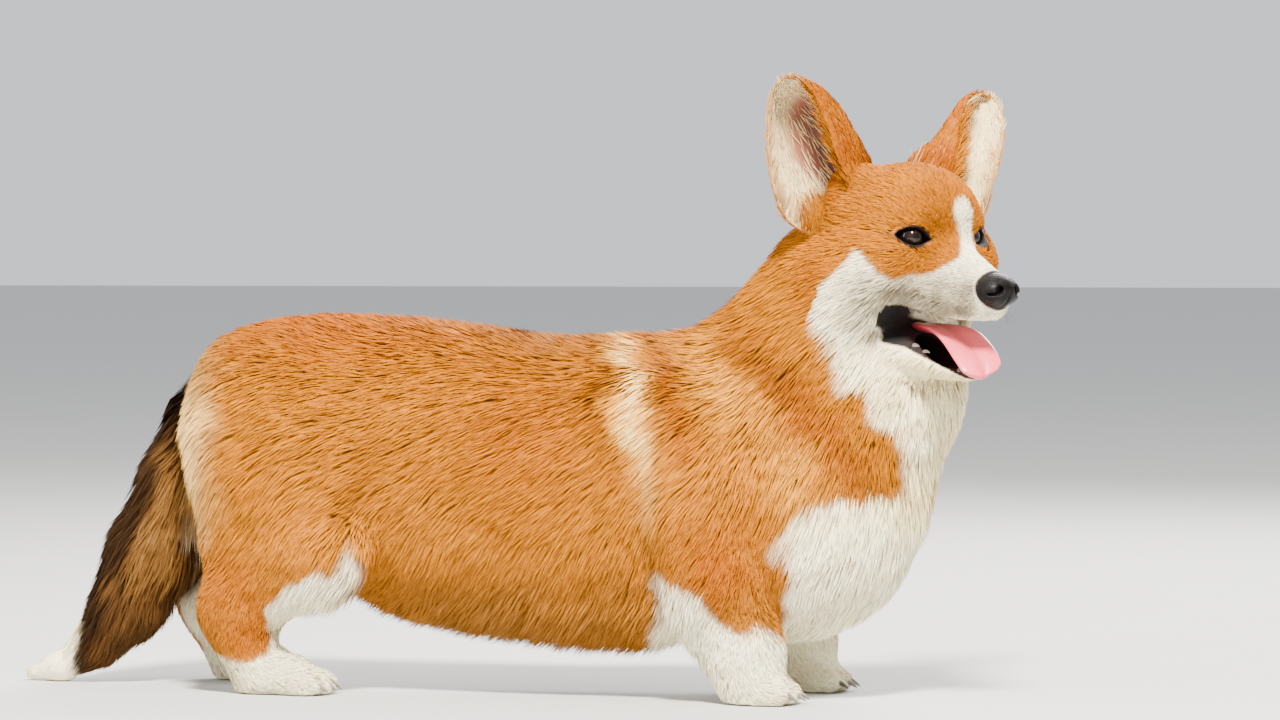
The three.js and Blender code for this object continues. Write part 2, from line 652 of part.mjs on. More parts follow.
const eyeAt = (side) => [EYE.at[0], SIDES[side] * EYE.at[1], EYE.at[2]];
const inHeadSolid = (geometry) => solidOf(geometry.applyMatrix4(headTurn));
const eyeBall = (side, radius, detail) =>
  inHeadSolid(ball([radius, radius, radius], detail).translate(...eyeAt(side)));
function eyeOpening(side) {
  const lens = ball([EYE.radius + 8, EYE.opening[0], EYE.opening[1]], 12);
  lens.rotateX(rad(SIDES[side] * EYE.slant)).translate(EYE.radius * 0.8, 0, 0);
  lens.rotateZ(rad(SIDES[side] * EYE.turn)).translate(...eyeAt(side));
  return inHeadSolid(lens);
}
const nosePad = (swell) =>
  inHeadSolid(ball(NOSE.radii.map((r) => r + swell), 12).translate(...NOSE.at));
const nostrils = Object.values(SIDES).map((y) => {
  const hole = ball(NOSTRIL.radii, 8).rotateZ(rad(y * NOSTRIL.turn));
  return inHeadSolid(hole.translate(NOSTRIL.at[0], y * NOSTRIL.at[1], NOSTRIL.at[2]));
});

let head = skull.intersect(halfSpace(NAPE)).subtract(openMouth).subtract(jawRoom);
for (const side of Object.keys(SIDES)) {
  head = head
    .add(eyeBall(side, EYE.radius + EYE.lid, 10))
    .subtract(eyeOpening(side))
    .subtract(eyeBall(side, EYE.radius + GAP, 11));
  addNode(`eye_${side}`, eyeBall(side, EYE.radius, 11), "eye");
}
head = head.subtract(nosePad(GAP));
addNode("nose", largest(nosePad(0).subtract(unionOf(nostrils))), "black");

// The tongue: a flat band that lies in the jaw and hangs over its front.
function tongueSolid(swell) {
  const curve = new THREE.CatmullRomCurve3(TONGUE.path, false, "centripetal");
  const widths = new THREE.CatmullRomCurve3(TONGUE.halfWidth.map((w, i) => V(i, w, 0)));
  const sides = 10;
  const rings = 12;
  const points = [];
  for (let r = 0; r < rings; r++) {
    const u = r / (rings - 1);
    const at = curve.getPointAt(u);
    const along = curve.getTangentAt(u);
    const roll = rad(TONGUE.roll) * Math.min(1, 2 * u);
    const normal = V(-along.z, 0, along.x).applyAxisAngle(along, roll);
    const side = V(0, 1, 0).applyAxisAngle(along, roll);
    const half = widths.getPointAt(u).y + swell;
    for (let s = 0; s < sides; s++) {
      const angle = (2 * Math.PI * s) / sides;
      const rise = (TONGUE.halfThickness + swell) * Math.sin(angle);
      points.push(at.clone().addScaledVector(normal, rise).addScaledVector(side, half * Math.cos(angle)));
    }
  }
  const ends = [0, 1].map((u) =>
    curve.getPointAt(u).addScaledVector(curve.getTangentAt(u), (u ? 1 : -1) * (5 + swell)),
  );
  return inHeadSolid(closedTube([...points, ...ends], rings, sides));
}
const tongue = tongueSolid(0);
const lowerJaw = jaw
  .intersect(across(jawOutline, -HALF_GAP))
  .subtract(tongueSolid(GAP));
addNode("tongue", largest(tongue.subtract(head)), "tongue");
addNode("lower_jaw", largest(lowerJaw), "white");
addNode("head", largest(head), "red");

// An ear: a cupped sheet whose section curves from rim to rim, its walls moved out by the swell.
function earSolid(side, swell = 0) {
  const curveOf = (points) => new THREE.CatmullRomCurve3(points, false, "centripetal");
  const rims = Object.values(EARS[side]).map((rim) => curveOf(rim.map((p) => V(...p))));
  const profile = (sizes) => curveOf(sizes.map((size, i) => V(i, size, 0)));
  const [depths, walls] = [profile(EAR_CUP.depth), profile(EAR_CUP.wall)];
  const { rings, steps } = EAR_CUP;
  const points = [];
  for (let r = 0; r < rings; r++) {
    const t = r / (rings - 1);
    const [outer, inner, front] = rims.map((rim) => rim.getPoint(t));
    const back = (share, part) =>
      outer.clone().lerp(inner, share).addScaledVector(EAR_CUP.away, depths.getPoint(t).y * part);
    const section = curveOf([outer, back(0.25, 0.85), back(0.7, 0.9), inner, front]);
    const up = rims[1].getTangent(t);
    const inside = [];
    const outside = [];
    for (let i = 0; i <= steps; i++) {
      const at = section.getPoint(i / steps);
      const normal = V(0, 0, 0).crossVectors(section.getTangent(i / steps), up).normalize();
      const wall = walls.getPoint(t).y * (0.35 + 0.65 * Math.sin((Math.PI * i) / steps));
      inside.push(at.clone().addScaledVector(normal, SIDES[side] * swell));
      outside.unshift(at.addScaledVector(normal, -SIDES[side] * (wall + swell)));
    }
    const loop = [...inside, ...outside];
    points.push(...(side === "right" ? loop.reverse() : loop));
  }
  const ring = 2 * (steps + 1);
  const middle = (from) =>
    points.slice(from, from + ring).reduce((sum, p) => sum.add(p), V(0, 0, 0)).divideScalar(ring);
  return inHeadSolid(closedTube([...points, middle(0), middle((rings - 1) * ring)], rings, ring));
}
const skullRoom = castLoft(headAndNeck, HEAD_SPINE, { ...skullShape, level: 2 * GAP });
const earBed = skullRoom.add(bodyRoom.intersect(behind(NAPE)));
for (const side of Object.keys(SIDES)) {
  addNode(`ear_${side}`, largest(earSolid(side).subtract(earBed)), "red");
}
const earRoom = earSolid("right", GAP).add(earSolid("left", GAP));
const neckSpace = halfSpace(NECK_BASE).intersect(behind(NAPE));
const neck = whole.intersect(neckSpace).subtract(unionOf([legRoom, jawRoom, earRoom]));
addNode("neck", largest(neck), "red");

const box = new THREE.Box3().setFromObject(group);
group.position.set(-(box.min.x + box.max.x) / 2, -(box.min.y + box.max.y) / 2, -box.min.z);

export default group;
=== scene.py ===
import math

import bpy
import numpy as np
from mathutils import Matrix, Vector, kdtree


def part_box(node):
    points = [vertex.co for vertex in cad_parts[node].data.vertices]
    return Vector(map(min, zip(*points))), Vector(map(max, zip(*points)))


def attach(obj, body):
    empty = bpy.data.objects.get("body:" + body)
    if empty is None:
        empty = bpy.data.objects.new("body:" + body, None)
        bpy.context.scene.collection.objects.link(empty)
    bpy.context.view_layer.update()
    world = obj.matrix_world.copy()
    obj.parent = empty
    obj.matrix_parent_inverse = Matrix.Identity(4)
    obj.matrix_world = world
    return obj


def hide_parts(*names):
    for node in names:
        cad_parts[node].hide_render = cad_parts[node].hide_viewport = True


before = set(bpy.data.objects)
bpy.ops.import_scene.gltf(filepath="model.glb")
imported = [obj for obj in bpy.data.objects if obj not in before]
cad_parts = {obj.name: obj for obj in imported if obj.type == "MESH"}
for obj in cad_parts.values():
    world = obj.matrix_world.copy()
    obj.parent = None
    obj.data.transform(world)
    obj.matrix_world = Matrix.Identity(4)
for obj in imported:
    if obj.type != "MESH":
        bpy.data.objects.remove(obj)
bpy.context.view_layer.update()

RNG = np.random.default_rng(11)


def vec(*values):
    return np.array(values, dtype=np.float32)


# Trunk with its coat: x, top, bottom and half width from the buttocks to the breastbone.
TRUNK = vec(
    [-370, 262, 176, 34], [-356, 283, 150, 66], [-325, 297, 124, 84], [-285, 304, 104, 92],
    [-240, 306, 84, 94],
    [-190, 304, 66, 94], [-130, 298, 53, 97], [-66, 290, 46, 102], [-5, 292, 43, 106], [55, 292, 45, 106],
    [110, 284, 50, 98], [160, 258, 60, 84], [200, 226, 84, 62], [222, 196, 120, 30],
)
TRUNK_END = 12

# Rounded masses: from, to, radius at from, radius at to, width share.
BIB = ((130, 0, 142), (180, -5, 250), 92, 88, 0.9)
NECK = ((95, 0, 215), (170, -12, 318), 84, 70, 1.0)
SHOULDER_BLADE = ((20, 74, 232), (78, 78, 168), 34, 44, 0.8)
HAUNCH = ((-300, 50, 218), (-270, 58, 170), 60, 62, 0.72)

# Head frame: the middle of the eye line, then forward, left and up from it.
EYE_LINE = vec(260, -61, 366)
HEAD_YAW = math.radians(-36)
SKULL = [
    ((-54, 0, 0), (60, 60, 58)), ((-28, 0, 20), (42, 46, 36)), ((-30, 38, -20), (40, 30, 34)),
    ((-54, 44, -38), (42, 34, 40)), ((-12, 25, 13), (16, 15, 10)), ((-64, 38, 32), (24, 22, 28)),
]
MUZZLE = ((4, 0, -28), (48, 0, -42), 31, 19.5, 0.95)
FLEWS = ((2, 19, -46), (39, 8, -52), 15, 12.5, 1.0)
JAW = ((-40, 0, -87), (29, 0, -106), 26, 7, 1.85)
MOUTH = [(-20, -55), (-25, -63), (-25, -72), (-20, -79), (60, -119), (95, -119), (95, -66), (22, -66),
         (7, -61.5), (-6, -56.5)]
MOUTH_HALF_WIDTH = 84
GULLET = [(-14, -58), (-30, -58), (-30, -77), (-14, -80)]
GULLET_HALF_WIDTH = 47
TROUGH = ((-4, 0, -90), (46, 17, 17))
EYE_AT = (-9, 29.5, 0)
EYE_RADIUS = 11
EYE_TURN = 30
EYE_OPENING = (14, 7)
EYE_SLANT = 8
LID = 1.8
NOSE_AT = (56, 0, -41)
NOSE_RADII = (16.4, 16.6, 14)

# Rims of the ears in the head frame, from the base to the tip.
EARS = {
    "right": {
        "outer": [(-84, -54, -4), (-92, -84, 14), (-92, -98, 38), (-90, -105, 62), (-84, -110, 90),
                  (-79, -112, 108), (-75, -108, 119), (-73, -102, 123.5)],
        "inner": [(-60, -14, 26), (-61, -18, 44), (-62, -25, 62), (-63, -40, 85), (-66, -58, 108),
                  (-68, -72, 117), (-70, -86, 123), (-71, -93, 125)],
        "front": [(-44, -34, 14), (-49, -50, 36), (-54, -61, 58), (-59, -69, 84), (-64, -75, 105),
                  (-67, -82, 115), (-69, -89, 122.5), (-71, -95, 125.5)],
    },
    "left": {
        "outer": [(-56, 54, -4), (-41, 77, 14), (-36, 85, 42), (-40, 100, 74), (-46, 106, 92),
                  (-54, 109, 104), (-60, 107, 111), (-62, 102, 114)],
        "inner": [(-66, 10, 26), (-65, 14, 44), (-64, 22, 61), (-62, 44, 76), (-62, 62, 94),
                  (-64, 77, 108), (-64, 86, 113.5), (-64, 92, 115.5)],
        "front": [(-46, 32, 14), (-42, 42, 38), (-43, 50, 60), (-49, 58, 78), (-57, 70, 95),
                  (-61, 80, 108), (-63, 88, 113.5), (-63, 94, 116)],
    },
}
EAR_AWAY = vec(-0.94, 0.35, 0)
EAR_DEPTH = [2, 25, 3]
EAR_WALL = [4.5, 3.5, 2.4]

TONGUE_PATH = [(-26, 0, -70), (-4, 0, -72), (16, -1, -79), (32, -3, -90), (42, -4, -100), (46, -5, -107)]
TONGUE_HALF_WIDTH = [12, 14, 16, 17.5, 17, 13]
TONGUE_ROLL = 22

STANCE = {"fore": {-1: 104, 1: 118}, "hind": {-1: -300, 1: -360}}
STANCE_OUT = {"fore": 65, "hind": 62}
PAW_AHEAD = {"fore": 8, "hind": 28}
PAW_LENGTH = 62
PAW_WIDTH = 25
TOES = (-18, -6.5, 6.5, 18)

TAIL = [
    ((-338, 0, 256), 19), ((-372, 2, 222), 27), ((-392, 4, 165), 34), ((-414, 6, 106), 41),
    ((-436, 8, 64), 35), ((-464, 10, 32), 22), ((-495, 12, 12), 12), ((-522, 14, 6), 6),
]
TAIL_CORE = 0.5

# The lie of the coat: where, which way the hair runs, how deep the coat is, how long the hair.
# Outward is the second number, on both sides alike.
BODY_LIE = [
    ((-250, 0, 306), (-1, 0, -0.05), 11, 28), ((-60, 0, 292), (-1, 0, -0.1), 11, 26),
    ((45, 0, 296), (-1, 0, -0.2), 15, 36), ((-200, 95, 220), (-0.95, 0, -0.4), 12, 32),
    ((-60, 100, 200), (-0.9, 0, -0.5), 12, 32), ((-140, 80, 100), (-0.42, 0, -0.95), 15, 42),
    ((0, 90, 100), (-0.42, 0, -0.95), 15, 42), ((-100, 0, 58), (-0.7, 0, -0.7), 17, 44),
    ((60, 0, 55), (-0.7, 0, -0.7), 17, 40), ((55, 105, 205), (-0.7, 0, -0.75), 15, 38),
    ((140, 88, 185), (-0.35, 0, -1), 20, 48), ((225, 0, 190), (0.05, 0, -1), 22, 50),
    ((190, 0, 85), (-0.5, 0, -0.9), 18, 44), ((115, 80, 300), (-0.75, 0, -0.75), 20, 44),
    ((110, 0, 340), (-0.9, 0, -0.5), 18, 38), ((235, 30, 275), (0.1, 0, -1), 18, 44),
    ((-335, 0, 285), (-0.85, 0, -0.6), 12, 30), ((-285, 92, 235), (-0.85, 0, -0.5), 12, 32),
    ((-300, 95, 165), (-0.55, 0, -0.85), 12, 34), ((-368, 60, 185), (-0.3, 0, -1), 18, 46),
    ((-290, 92, 110), (-0.45, 0, -0.9), 9, 28), ((-305, 72, 66), (-0.25, 0, -1), 5, 14),
    ((-355, 66, 66), (-0.25, 0, -1), 5, 14), ((-275, 62, 14), (0.9, 0, -0.35), 2.5, 7),
    ((-335, 62, 14), (0.9, 0, -0.35), 2.5, 7), ((90, 104, 120), (-0.4, 0, -1), 7, 20),
    ((105, 85, 70), (-0.15, 0, -1), 5, 13), ((62, 70, 72), (-0.45, 0, -0.95), 9, 32),
    ((130, 65, 12), (0.95, 0, -0.3), 2.5, 7),
]
HEAD_LIE = [
    ((45, 0, -22), (-1, 0, 0.3), 1.6, 5), ((5, 0, 8), (-0.8, 0, 0.6), 2, 6),
    ((-20, 0, 52), (-0.9, 0, 0.4), 3, 9),
    ((-60, 0, 58), (-1, 0, -0.1), 5, 14), ((2, 25, 16), (-0.8, 0.3, 0.45), 2, 6),
    ((8, 34, -24), (-0.95, 0.3, -0.3), 2.4, 8), ((40, 18, -52), (-0.85, 0.2, -0.5), 1.8, 5),
    ((-35, 60, -18), (-0.9, 0.25, -0.4), 6, 18), ((-50, 60, -60), (-0.65, 0.2, -0.8), 10, 30),
    ((-38, 50, 26), (-0.95, 0.3, 0.1), 5, 16), ((-85, 55, -14), (-0.7, 0.2, -0.75), 12, 32),
    ((-66, 62, 8), (-0.8, 0.5, 0.3), 6, 22),
    ((30, 0, -112), (-0.7, 0, -0.7), 2.2, 7), ((-5, 32, -98), (-0.85, 0.1, -0.5), 4, 12),
    ((-62, 30, -108), (-0.45, 0, -0.9), 9, 28),
]


# Distance fields on arrays of points, negative inside.
def smooth_union(a, b, k):
    h = np.maximum(k - np.abs(a - b), 0) / k
    return np.minimum(a, b) - h * h * k / 4


def carved(field, cut, k):
    return -smooth_union(-field, cut, k)


def round_cone(p, cone):
    a, b, ra, rb, width = (*cone, 1.0)[:5]
    a, b = vec(*a), vec(*b)
    axis = (b - a) / vec(1, width, 1)
    length = float(np.linalg.norm(axis))
    axis = axis / length
    slope = (ra - rb) / length
    lean = slope / math.sqrt(1 - slope * slope)
    x = p[..., 0] - a[0]
    y = (p[..., 1] - a[1]) / width
    z = p[..., 2] - a[2]
    along = x * axis[0] + y * axis[1] + z * axis[2]
    off = np.sqrt(np.maximum(x * x + y * y + z * z - along * along, 0))
    t = np.clip((along + off * lean) / length, 0, 1)
    return (np.hypot(off, along - t * length) - (ra + (rb - ra) * t)) * min(1.0, width)


def ellipsoid(p, at, radii):
    x = (p - vec(*at)) / vec(*radii)
    near = np.sqrt((x * x).sum(-1))
    far = np.sqrt(((x / vec(*radii)) ** 2).sum(-1)) + 1e-9
    return near * (near - 1) / far


def both_sides(p):
    return np.stack([p[..., 0], np.abs(p[..., 1]), p[..., 2]], -1)


def blend(fields, k):
    total = fields[0]
    for field in fields[1:]:
        total = smooth_union(total, field, k)
    return total


def spline(points, ts):
    """Centripetal curve through points, at shares ts of its length in points."""
    points = np.asarray(points, dtype=np.float64)
    if points.ndim == 1:
        points = np.stack([np.arange(len(points)), points], 1)
    ext = np.vstack([2 * points[0] - points[1], points, 2 * points[-1] - points[-2]])
    spot = np.clip(np.asarray(ts, dtype=np.float64), 0, 1) * (len(points) - 1)
    i = np.minimum(spot.astype(int), len(points) - 2)
    w = (spot - i)[:, None]
    x0, x1, x2, x3 = ext[i], ext[i + 1], ext[i + 2], ext[i + 3]
    gaps = (x1 - x0, x2 - x1, x3 - x2)
    d0, d1, d2 = (np.sqrt(np.linalg.norm(gap, axis=1, keepdims=True)) + 1e-9 for gap in gaps)
    t1 = ((x1 - x0) / d0 - (x2 - x0) / (d0 + d1) + (x2 - x1) / d1) * d1
    t2 = ((x2 - x1) / d1 - (x3 - x1) / (d1 + d2) + (x3 - x2) / d2) * d1
    c2 = -3 * x1 + 3 * x2 - 2 * t1 - t2
    c3 = 2 * x1 - 2 * x2 + t1 + t2
    return x1 + t1 * w + c2 * w**2 + c3 * w**3


TRUNK_FINE = spline(TRUNK, np.linspace(0, 1, 300))


def trunk(p):
    x = p[..., 0]
    held = np.clip(x, TRUNK[0, 0], TRUNK[-1, 0])
    column = TRUNK_FINE.T
    top, bottom, half = (np.interp(held, column[0], column[i]).astype(np.float32) for i in (1, 2, 3))
    height = (top - bottom) / 2
    past = np.maximum(np.maximum(TRUNK[0, 0] - x, x - TRUNK[-1, 0]), 0) / TRUNK_END
    across = np.hypot(p[..., 1] / half, (p[..., 2] - (top + bottom) / 2) / height)
    return (np.hypot(across, past) - 1) * np.minimum(half, height)


COS, SIN = math.cos(HEAD_YAW), math.sin(HEAD_YAW)
HEAD_AXES = vec((COS, SIN, 0), (-SIN, COS, 0), (0, 0, 1))  # forward, left, up as rows


def to_head(p):
    return (p - EYE_LINE) @ HEAD_AXES.T


def from_head(q):
    return np.asarray(q, dtype=np.float32) @ HEAD_AXES + EYE_LINE


def outline_distance(points, corners):
    """Signed distance in a plane to a polygon, negative inside."""
    best = np.full(points.shape[:-1], 1e9, dtype=np.float32)
    inside = np.zeros(points.shape[:-1], dtype=bool)
    for (ax, ay), (bx, by) in zip(corners, corners[1:] + corners[:1]):
        x, y = points[..., 0] - ax, points[..., 1] - ay
        ex, ey = bx - ax, by - ay
        t = np.clip((x * ex + y * ey) / (ex * ex + ey * ey), 0, 1)
        best = np.minimum(best, np.hypot(x - ex * t, y - ey * t))
        crosses = (points[..., 1] < ay) != (points[..., 1] < by)
        inside ^= crosses & (x < ex * (points[..., 1] - ay) / (ey if ey else 1e-9))
    return np.where(inside, -best, best)


def mouth_distance(q):
    plane = outline_distance(q[..., [0, 2]], MOUTH)
    return np.maximum(plane, np.abs(q[..., 1]) - MOUTH_HALF_WIDTH)


def gullet_distance(q):
    """The back of the mouth, a little beyond its opening."""
    plane = outline_distance(q[..., [0, 2]], GULLET)
    return np.maximum(plane - 6, np.abs(q[..., 1]) - GULLET_HALF_WIDTH)


def turned(q, side):
    """Points about an eye, in the frame of its gaze: out along it, across and up the slanted opening."""
    turn, slant = math.radians(side * EYE_TURN), math.radians(side * EYE_SLANT)
    d = q - vec(EYE_AT[0], side * EYE_AT[1], EYE_AT[2])
    out = d[..., 0] * math.cos(turn) + d[..., 1] * math.sin(turn)
    across = -d[..., 0] * math.sin(turn) + d[..., 1] * math.cos(turn)
    y = across * math.cos(slant) + d[..., 2] * math.sin(slant)
    z = -across * math.sin(slant) + d[..., 2] * math.cos(slant)
    return np.stack([out, y, z], -1)


def eye_opening(q, side):
    """An almond in front of the eyeball, negative inside."""
    t = turned(q, side)
    across = t[..., 1] / EYE_OPENING[0]
    upper = EYE_OPENING[1] * (1 - across**2)
    lower = EYE_OPENING[1] * 0.85 * (1 - across**2)
    gap = np.maximum(t[..., 2] - upper, -lower - t[..., 2])
    return np.maximum(gap * 0.75, 3 - t[..., 0])


def head_mass(p):
    q = to_head(p)
    m = both_sides(q)
    rounded = [ellipsoid(m, *mass) for mass in SKULL]
    skull = blend(rounded + [round_cone(m, MUZZLE), round_cone(m, FLEWS)], 16)
    crease = np.maximum(np.abs(q[..., 1]) - 0.5, 0)
    crease = crease + np.abs(q[..., 2] - 26) * 0.12 + np.abs(q[..., 0] - 8) * 0.1
    return skull + 2.2 * np.exp(-(crease / 5) ** 2)


def head_details(p, mass, coat):
    """The jaw, the open mouth and the eyes' lids, worked into the smooth head."""
    q = to_head(p)
    jaw = round_cone(q, JAW) + coat
    mouth = mouth_distance(q)
    trough = ellipsoid(q, *TROUGH)
    head = smooth_union(np.maximum(mass, -mouth), np.maximum(jaw, -mouth), 5)
    head = carved(head, trough, 4)
    for side in (-1, 1):
        t = turned(q, side)
        ball = np.sqrt((t * t).sum(-1))
        head = smooth_union(head, ball - EYE_RADIUS - LID, 5)
        head = carved(head, eye_opening(q, side), 2)
        head = np.maximum(head, EYE_RADIUS + 0.2 - ball)
    return head


def leg_masses(kind, y):
    x, s = STANCE[kind][y], y * STANCE_OUT[kind]
    if kind == "fore":
        elbow, wrist = (x - 26, y * 74, 104), (x, s, 46)
        return [
            ((40, y * 72, 215), (62, y * 80, 150), 38, 42, 0.8), ((62, y * 80, 150), elbow, 42, 38, 0.9),
            (elbow, wrist, 37, 26), ((x - 38, y * 68, 84), (x - 16, s, 38), 26, 20),
            (wrist, (x + 4, s, 10), 26, 25),
        ]
    back = (x - STANCE["hind"][-1]) * 0.75
    knee, hock = (-244 + back, y * 70, 118), (x - 20, s, 66)
    return [
        ((-305, y * 52, 222), (-285, y * 58, 176), 60, 64, 0.74), ((-285, y * 58, 176), knee, 60, 42, 0.78),
        ((-312 + back * 0.4, y * 56, 190), (-312 + back, y * 60, 120), 56, 40, 0.7),
        (knee, hock, 40, 28, 0.95), (hock, (x, s, 14), 27, 23),
    ]


def paw_masses(p, kind, y):
    x, s = STANCE[kind][y] + PAW_AHEAD[kind], y * STANCE_OUT[kind]
    pad = ellipsoid(p, (x - PAW_LENGTH * 0.1, s, 14), (PAW_LENGTH * 0.42, PAW_WIDTH, 20))
    toes = [ellipsoid(p, (x + PAW_LENGTH * 0.32 - abs(t) * 0.4, s + t, 9), (17, 9.5, 12)) for t in TOES]
    return smooth_union(pad, blend(toes, 3), 8)


def tail_mass(p, share=1.0):
    cones = []
    for i in range(1, len(TAIL)):
        ra, rb = (TAIL[j][1] * (share if j < 6 else 1) for j in (i - 1, i))
        cones.append(round_cone(p, (TAIL[i - 1][0], TAIL[i][0], ra, rb)))
    return blend(cones, 10)


# The grid that the fields are kept on: fine at the head and the paws, coarser along the trunk.
def steps(*spans):
    parts = [np.arange(a, b - h / 2, h) for a, b, h in spans]
    return np.concatenate(parts + [[spans[-1][1]]]).astype(np.float32)


XS = steps((-546, 215, 3.8), (215, 352, 1.8))
YS = steps((-138, 4, 2.2), (4, 122, 3.6))
ZS = steps((-6, 34, 2.6), (34, 232, 3.8), (232, 440, 2.0))


class Grid:
    """A field kept on the grid, sampled between its points."""

    def __init__(self, values):
        self.values = values

    def at(self, p):
        cells, shares = [], []
        for axis, lines in enumerate((XS, YS, ZS)):
            i = np.clip(np.searchsorted(lines, p[:, axis]) - 1, 0, len(lines) - 2)
            cells.append(i)
            shares.append(np.clip((p[:, axis] - lines[i]) / (lines[i + 1] - lines[i]), 0, 1))
        total = 0
        for corner in range(8):
            d = [(corner >> n) & 1 for n in range(3)]
            w = np.prod([s if n else 1 - s for s, n in zip(shares, d)], axis=0)
            total = total + w * self.values[cells[0] + d[0], cells[1] + d[1], cells[2] + d[2]]
        return total

    def slope(self, p, h=2.5):
        grad = np.stack([self.at(p + h * e) - self.at(p - h * e) for e in np.eye(3, dtype=np.float32)], -1)
        size = np.linalg.norm(grad, axis=1, keepdims=True) + 1e-6
        return grad / size, size[:, 0] / (2 * h)


def window(low, high):
    """The part of the grid inside a box, as slices and as points."""
    cut = []
    for axis, lines in enumerate((XS, YS, ZS)):
        a, b = np.searchsorted(lines, [low[axis], high[axis]])
        cut.append(slice(max(a - 1, 0), min(b + 1, len(lines))))
    points = np.stack(np.meshgrid(XS[cut[0]], YS[cut[1]], ZS[cut[2]], indexing="ij"), -1)
    return tuple(cut), points


def merge(values, low, high, field, k):
    cut, points = window(low, high)
    values[cut] = smooth_union(values[cut], field(points), k)


def body_outline():
    values = np.full((len(XS), len(YS), len(ZS)), 60, dtype=np.float32)
    merge(values, (-400, -150, 20), (260, 150, 330), trunk, 1)
    low, high = (20, -120, 30), (300, 120, 410)
    merge(values, low, high, lambda p: blend([round_cone(p, BIB), round_cone(p, NECK)], 30), 30)
    for mass in (SHOULDER_BLADE, HAUNCH):
        x = mass[0][0]
        low, high = (x - 110, -150, 60), (x + 160, 150, 320)
        merge(values, low, high, lambda p: round_cone(both_sides(p), mass), 24)
    for kind in STANCE:
        for y in (-1, 1):
            x = STANCE[kind][y]
            low, high = (x - 150, -150 if y < 0 else 5, -6), (x + 150, -5 if y < 0 else 150, 320)
            merge(values, low, high, lambda p: blend([round_cone(p, m) for m in leg_masses(kind, y)], 20), 6)
            low, high = (x - 60, low[1], -6), (x + 90, high[1], 50)
            merge(values, low, high, lambda p: paw_masses(p, kind, y), 8)
    return values


def coat_at(p):
    """The coat's direction, depth and length at points, blended between the nearest guides."""
    rows = []
    for at, lie, depth, length in BODY_LIE:
        for side in (-1, 1) if at[1] else (1,):
            rows.append((vec(at[0], side * at[1], at[2]), vec(lie[0], side * lie[1], lie[2]), depth, length))
    for at, lie, depth, length in HEAD_LIE:
        for side in (-1, 1) if at[1] else (1,):
            spot = from_head((at[0], side * at[1], at[2]))
            rows.append((spot, vec(lie[0], side * lie[1], lie[2]) @ HEAD_AXES, depth, length))
    total = np.zeros(len(p), dtype=np.float32)
    mix = np.zeros((len(p), 5), dtype=np.float32)
    for at, lie, depth, length in rows:
        near = 14 if depth < 7 else 34
        weight = 1 / (((p - at) ** 2).sum(-1) + near * near) ** 2 * near
        total += weight
        mix += weight[:, None] * np.concatenate([lie / np.linalg.norm(lie), vec(depth, length)])
    mix /= total[:, None]
    return mix[:, :3], mix[:, 3], mix[:, 4]


def build_fields():
    """The outline of the coat and the skin under it."""
    outline = body_outline()
    cut, points = window((130, -140, 200), (352, 60, 440))
    mass = head_mass(points)
    joined = smooth_union(outline[cut], mass, 22)
    outline[cut] = joined
    near = np.abs(outline) < 34
    ix = np.nonzero(near)
    p = np.stack([XS[ix[0]], YS[ix[1]], ZS[ix[2]]], -1)
    depth = np.zeros(outline.shape, dtype=np.float32)
    depth[ix] = coat_at(p)[1]
    skin = outline + depth
    detailed = head_details(points, joined, 0)
    detailed_skin = head_details(points, joined + depth[cut], 2)
    outline[cut] = detailed
    skin[cut] = detailed_skin
    low, high = (-546, -70, -6), (-300, 80, 300)
    merge(outline, low, high, tail_mass, 8)
    merge(skin, low, high, lambda q: tail_mass(q, TAIL_CORE), 8)
    floor = -ZS[None, None, :] + np.zeros_like(skin)
    return Grid(np.maximum(outline, floor)), Grid(np.maximum(skin, floor + 0.4))


# Surfaces from fields: one point in each cell that the surface crosses, joined by quads.
def surface(values, lines):
    inside = values < 0
    cells = np.zeros(tuple(n - 1 for n in values.shape), dtype=np.uint8)
    offsets = [((c >> 0) & 1, (c >> 1) & 1, (c >> 2) & 1) for c in range(8)]
    size = cells.shape
    for o in offsets:
        cells += inside[o[0]:o[0] + size[0], o[1]:o[1] + size[1], o[2]:o[2] + size[2]]
    at = np.nonzero((cells > 0) & (cells < 8))
    corner = [values[at[0] + o[0], at[1] + o[1], at[2] + o[2]] for o in offsets]
    place = [np.stack([lines[n][at[n] + o[n]] for n in range(3)], -1) for o in offsets]
    total = np.zeros((len(at[0]), 3))
    count = np.zeros(len(at[0]))
    for a in range(8):
        for b in range(a + 1, 8):
            if bin(a ^ b).count("1") != 1:
                continue
            cross = (corner[a] < 0) != (corner[b] < 0)
            t = np.where(cross, corner[a] / np.where(cross, corner[a] - corner[b], 1), 0)[:, None]
            total += cross[:, None] * (place[a] + t * (place[b] - place[a]))
            count += cross
    verts = total / count[:, None]
    number = np.full(size, -1, dtype=np.int64)
    number[at] = np.arange(len(verts))
    quads = []
    for axis in range(3):
        u, v = (axis + 1) % 3, (axis + 2) % 3
        first = [slice(1, -1)] * 3
        first[axis] = slice(0, -1)
        second = list(first)
        second[axis] = slice(1, None)
        a, b = inside[tuple(first)], inside[tuple(second)]
        for flip in (False, True):
            hit = np.nonzero((~a & b) if flip else (a & ~b))
            base = [hit[n] + (0 if n == axis else 1) for n in range(3)]
            loop = []
            for du, dv in ((1, 1), (0, 1), (0, 0), (1, 0)):
                spot = list(base)
                spot[u] = base[u] - du
                spot[v] = base[v] - dv
                loop.append(number[tuple(spot)])
            quads.append(np.stack(loop[::-1] if flip else loop, -1))
    return verts, np.concatenate(quads)


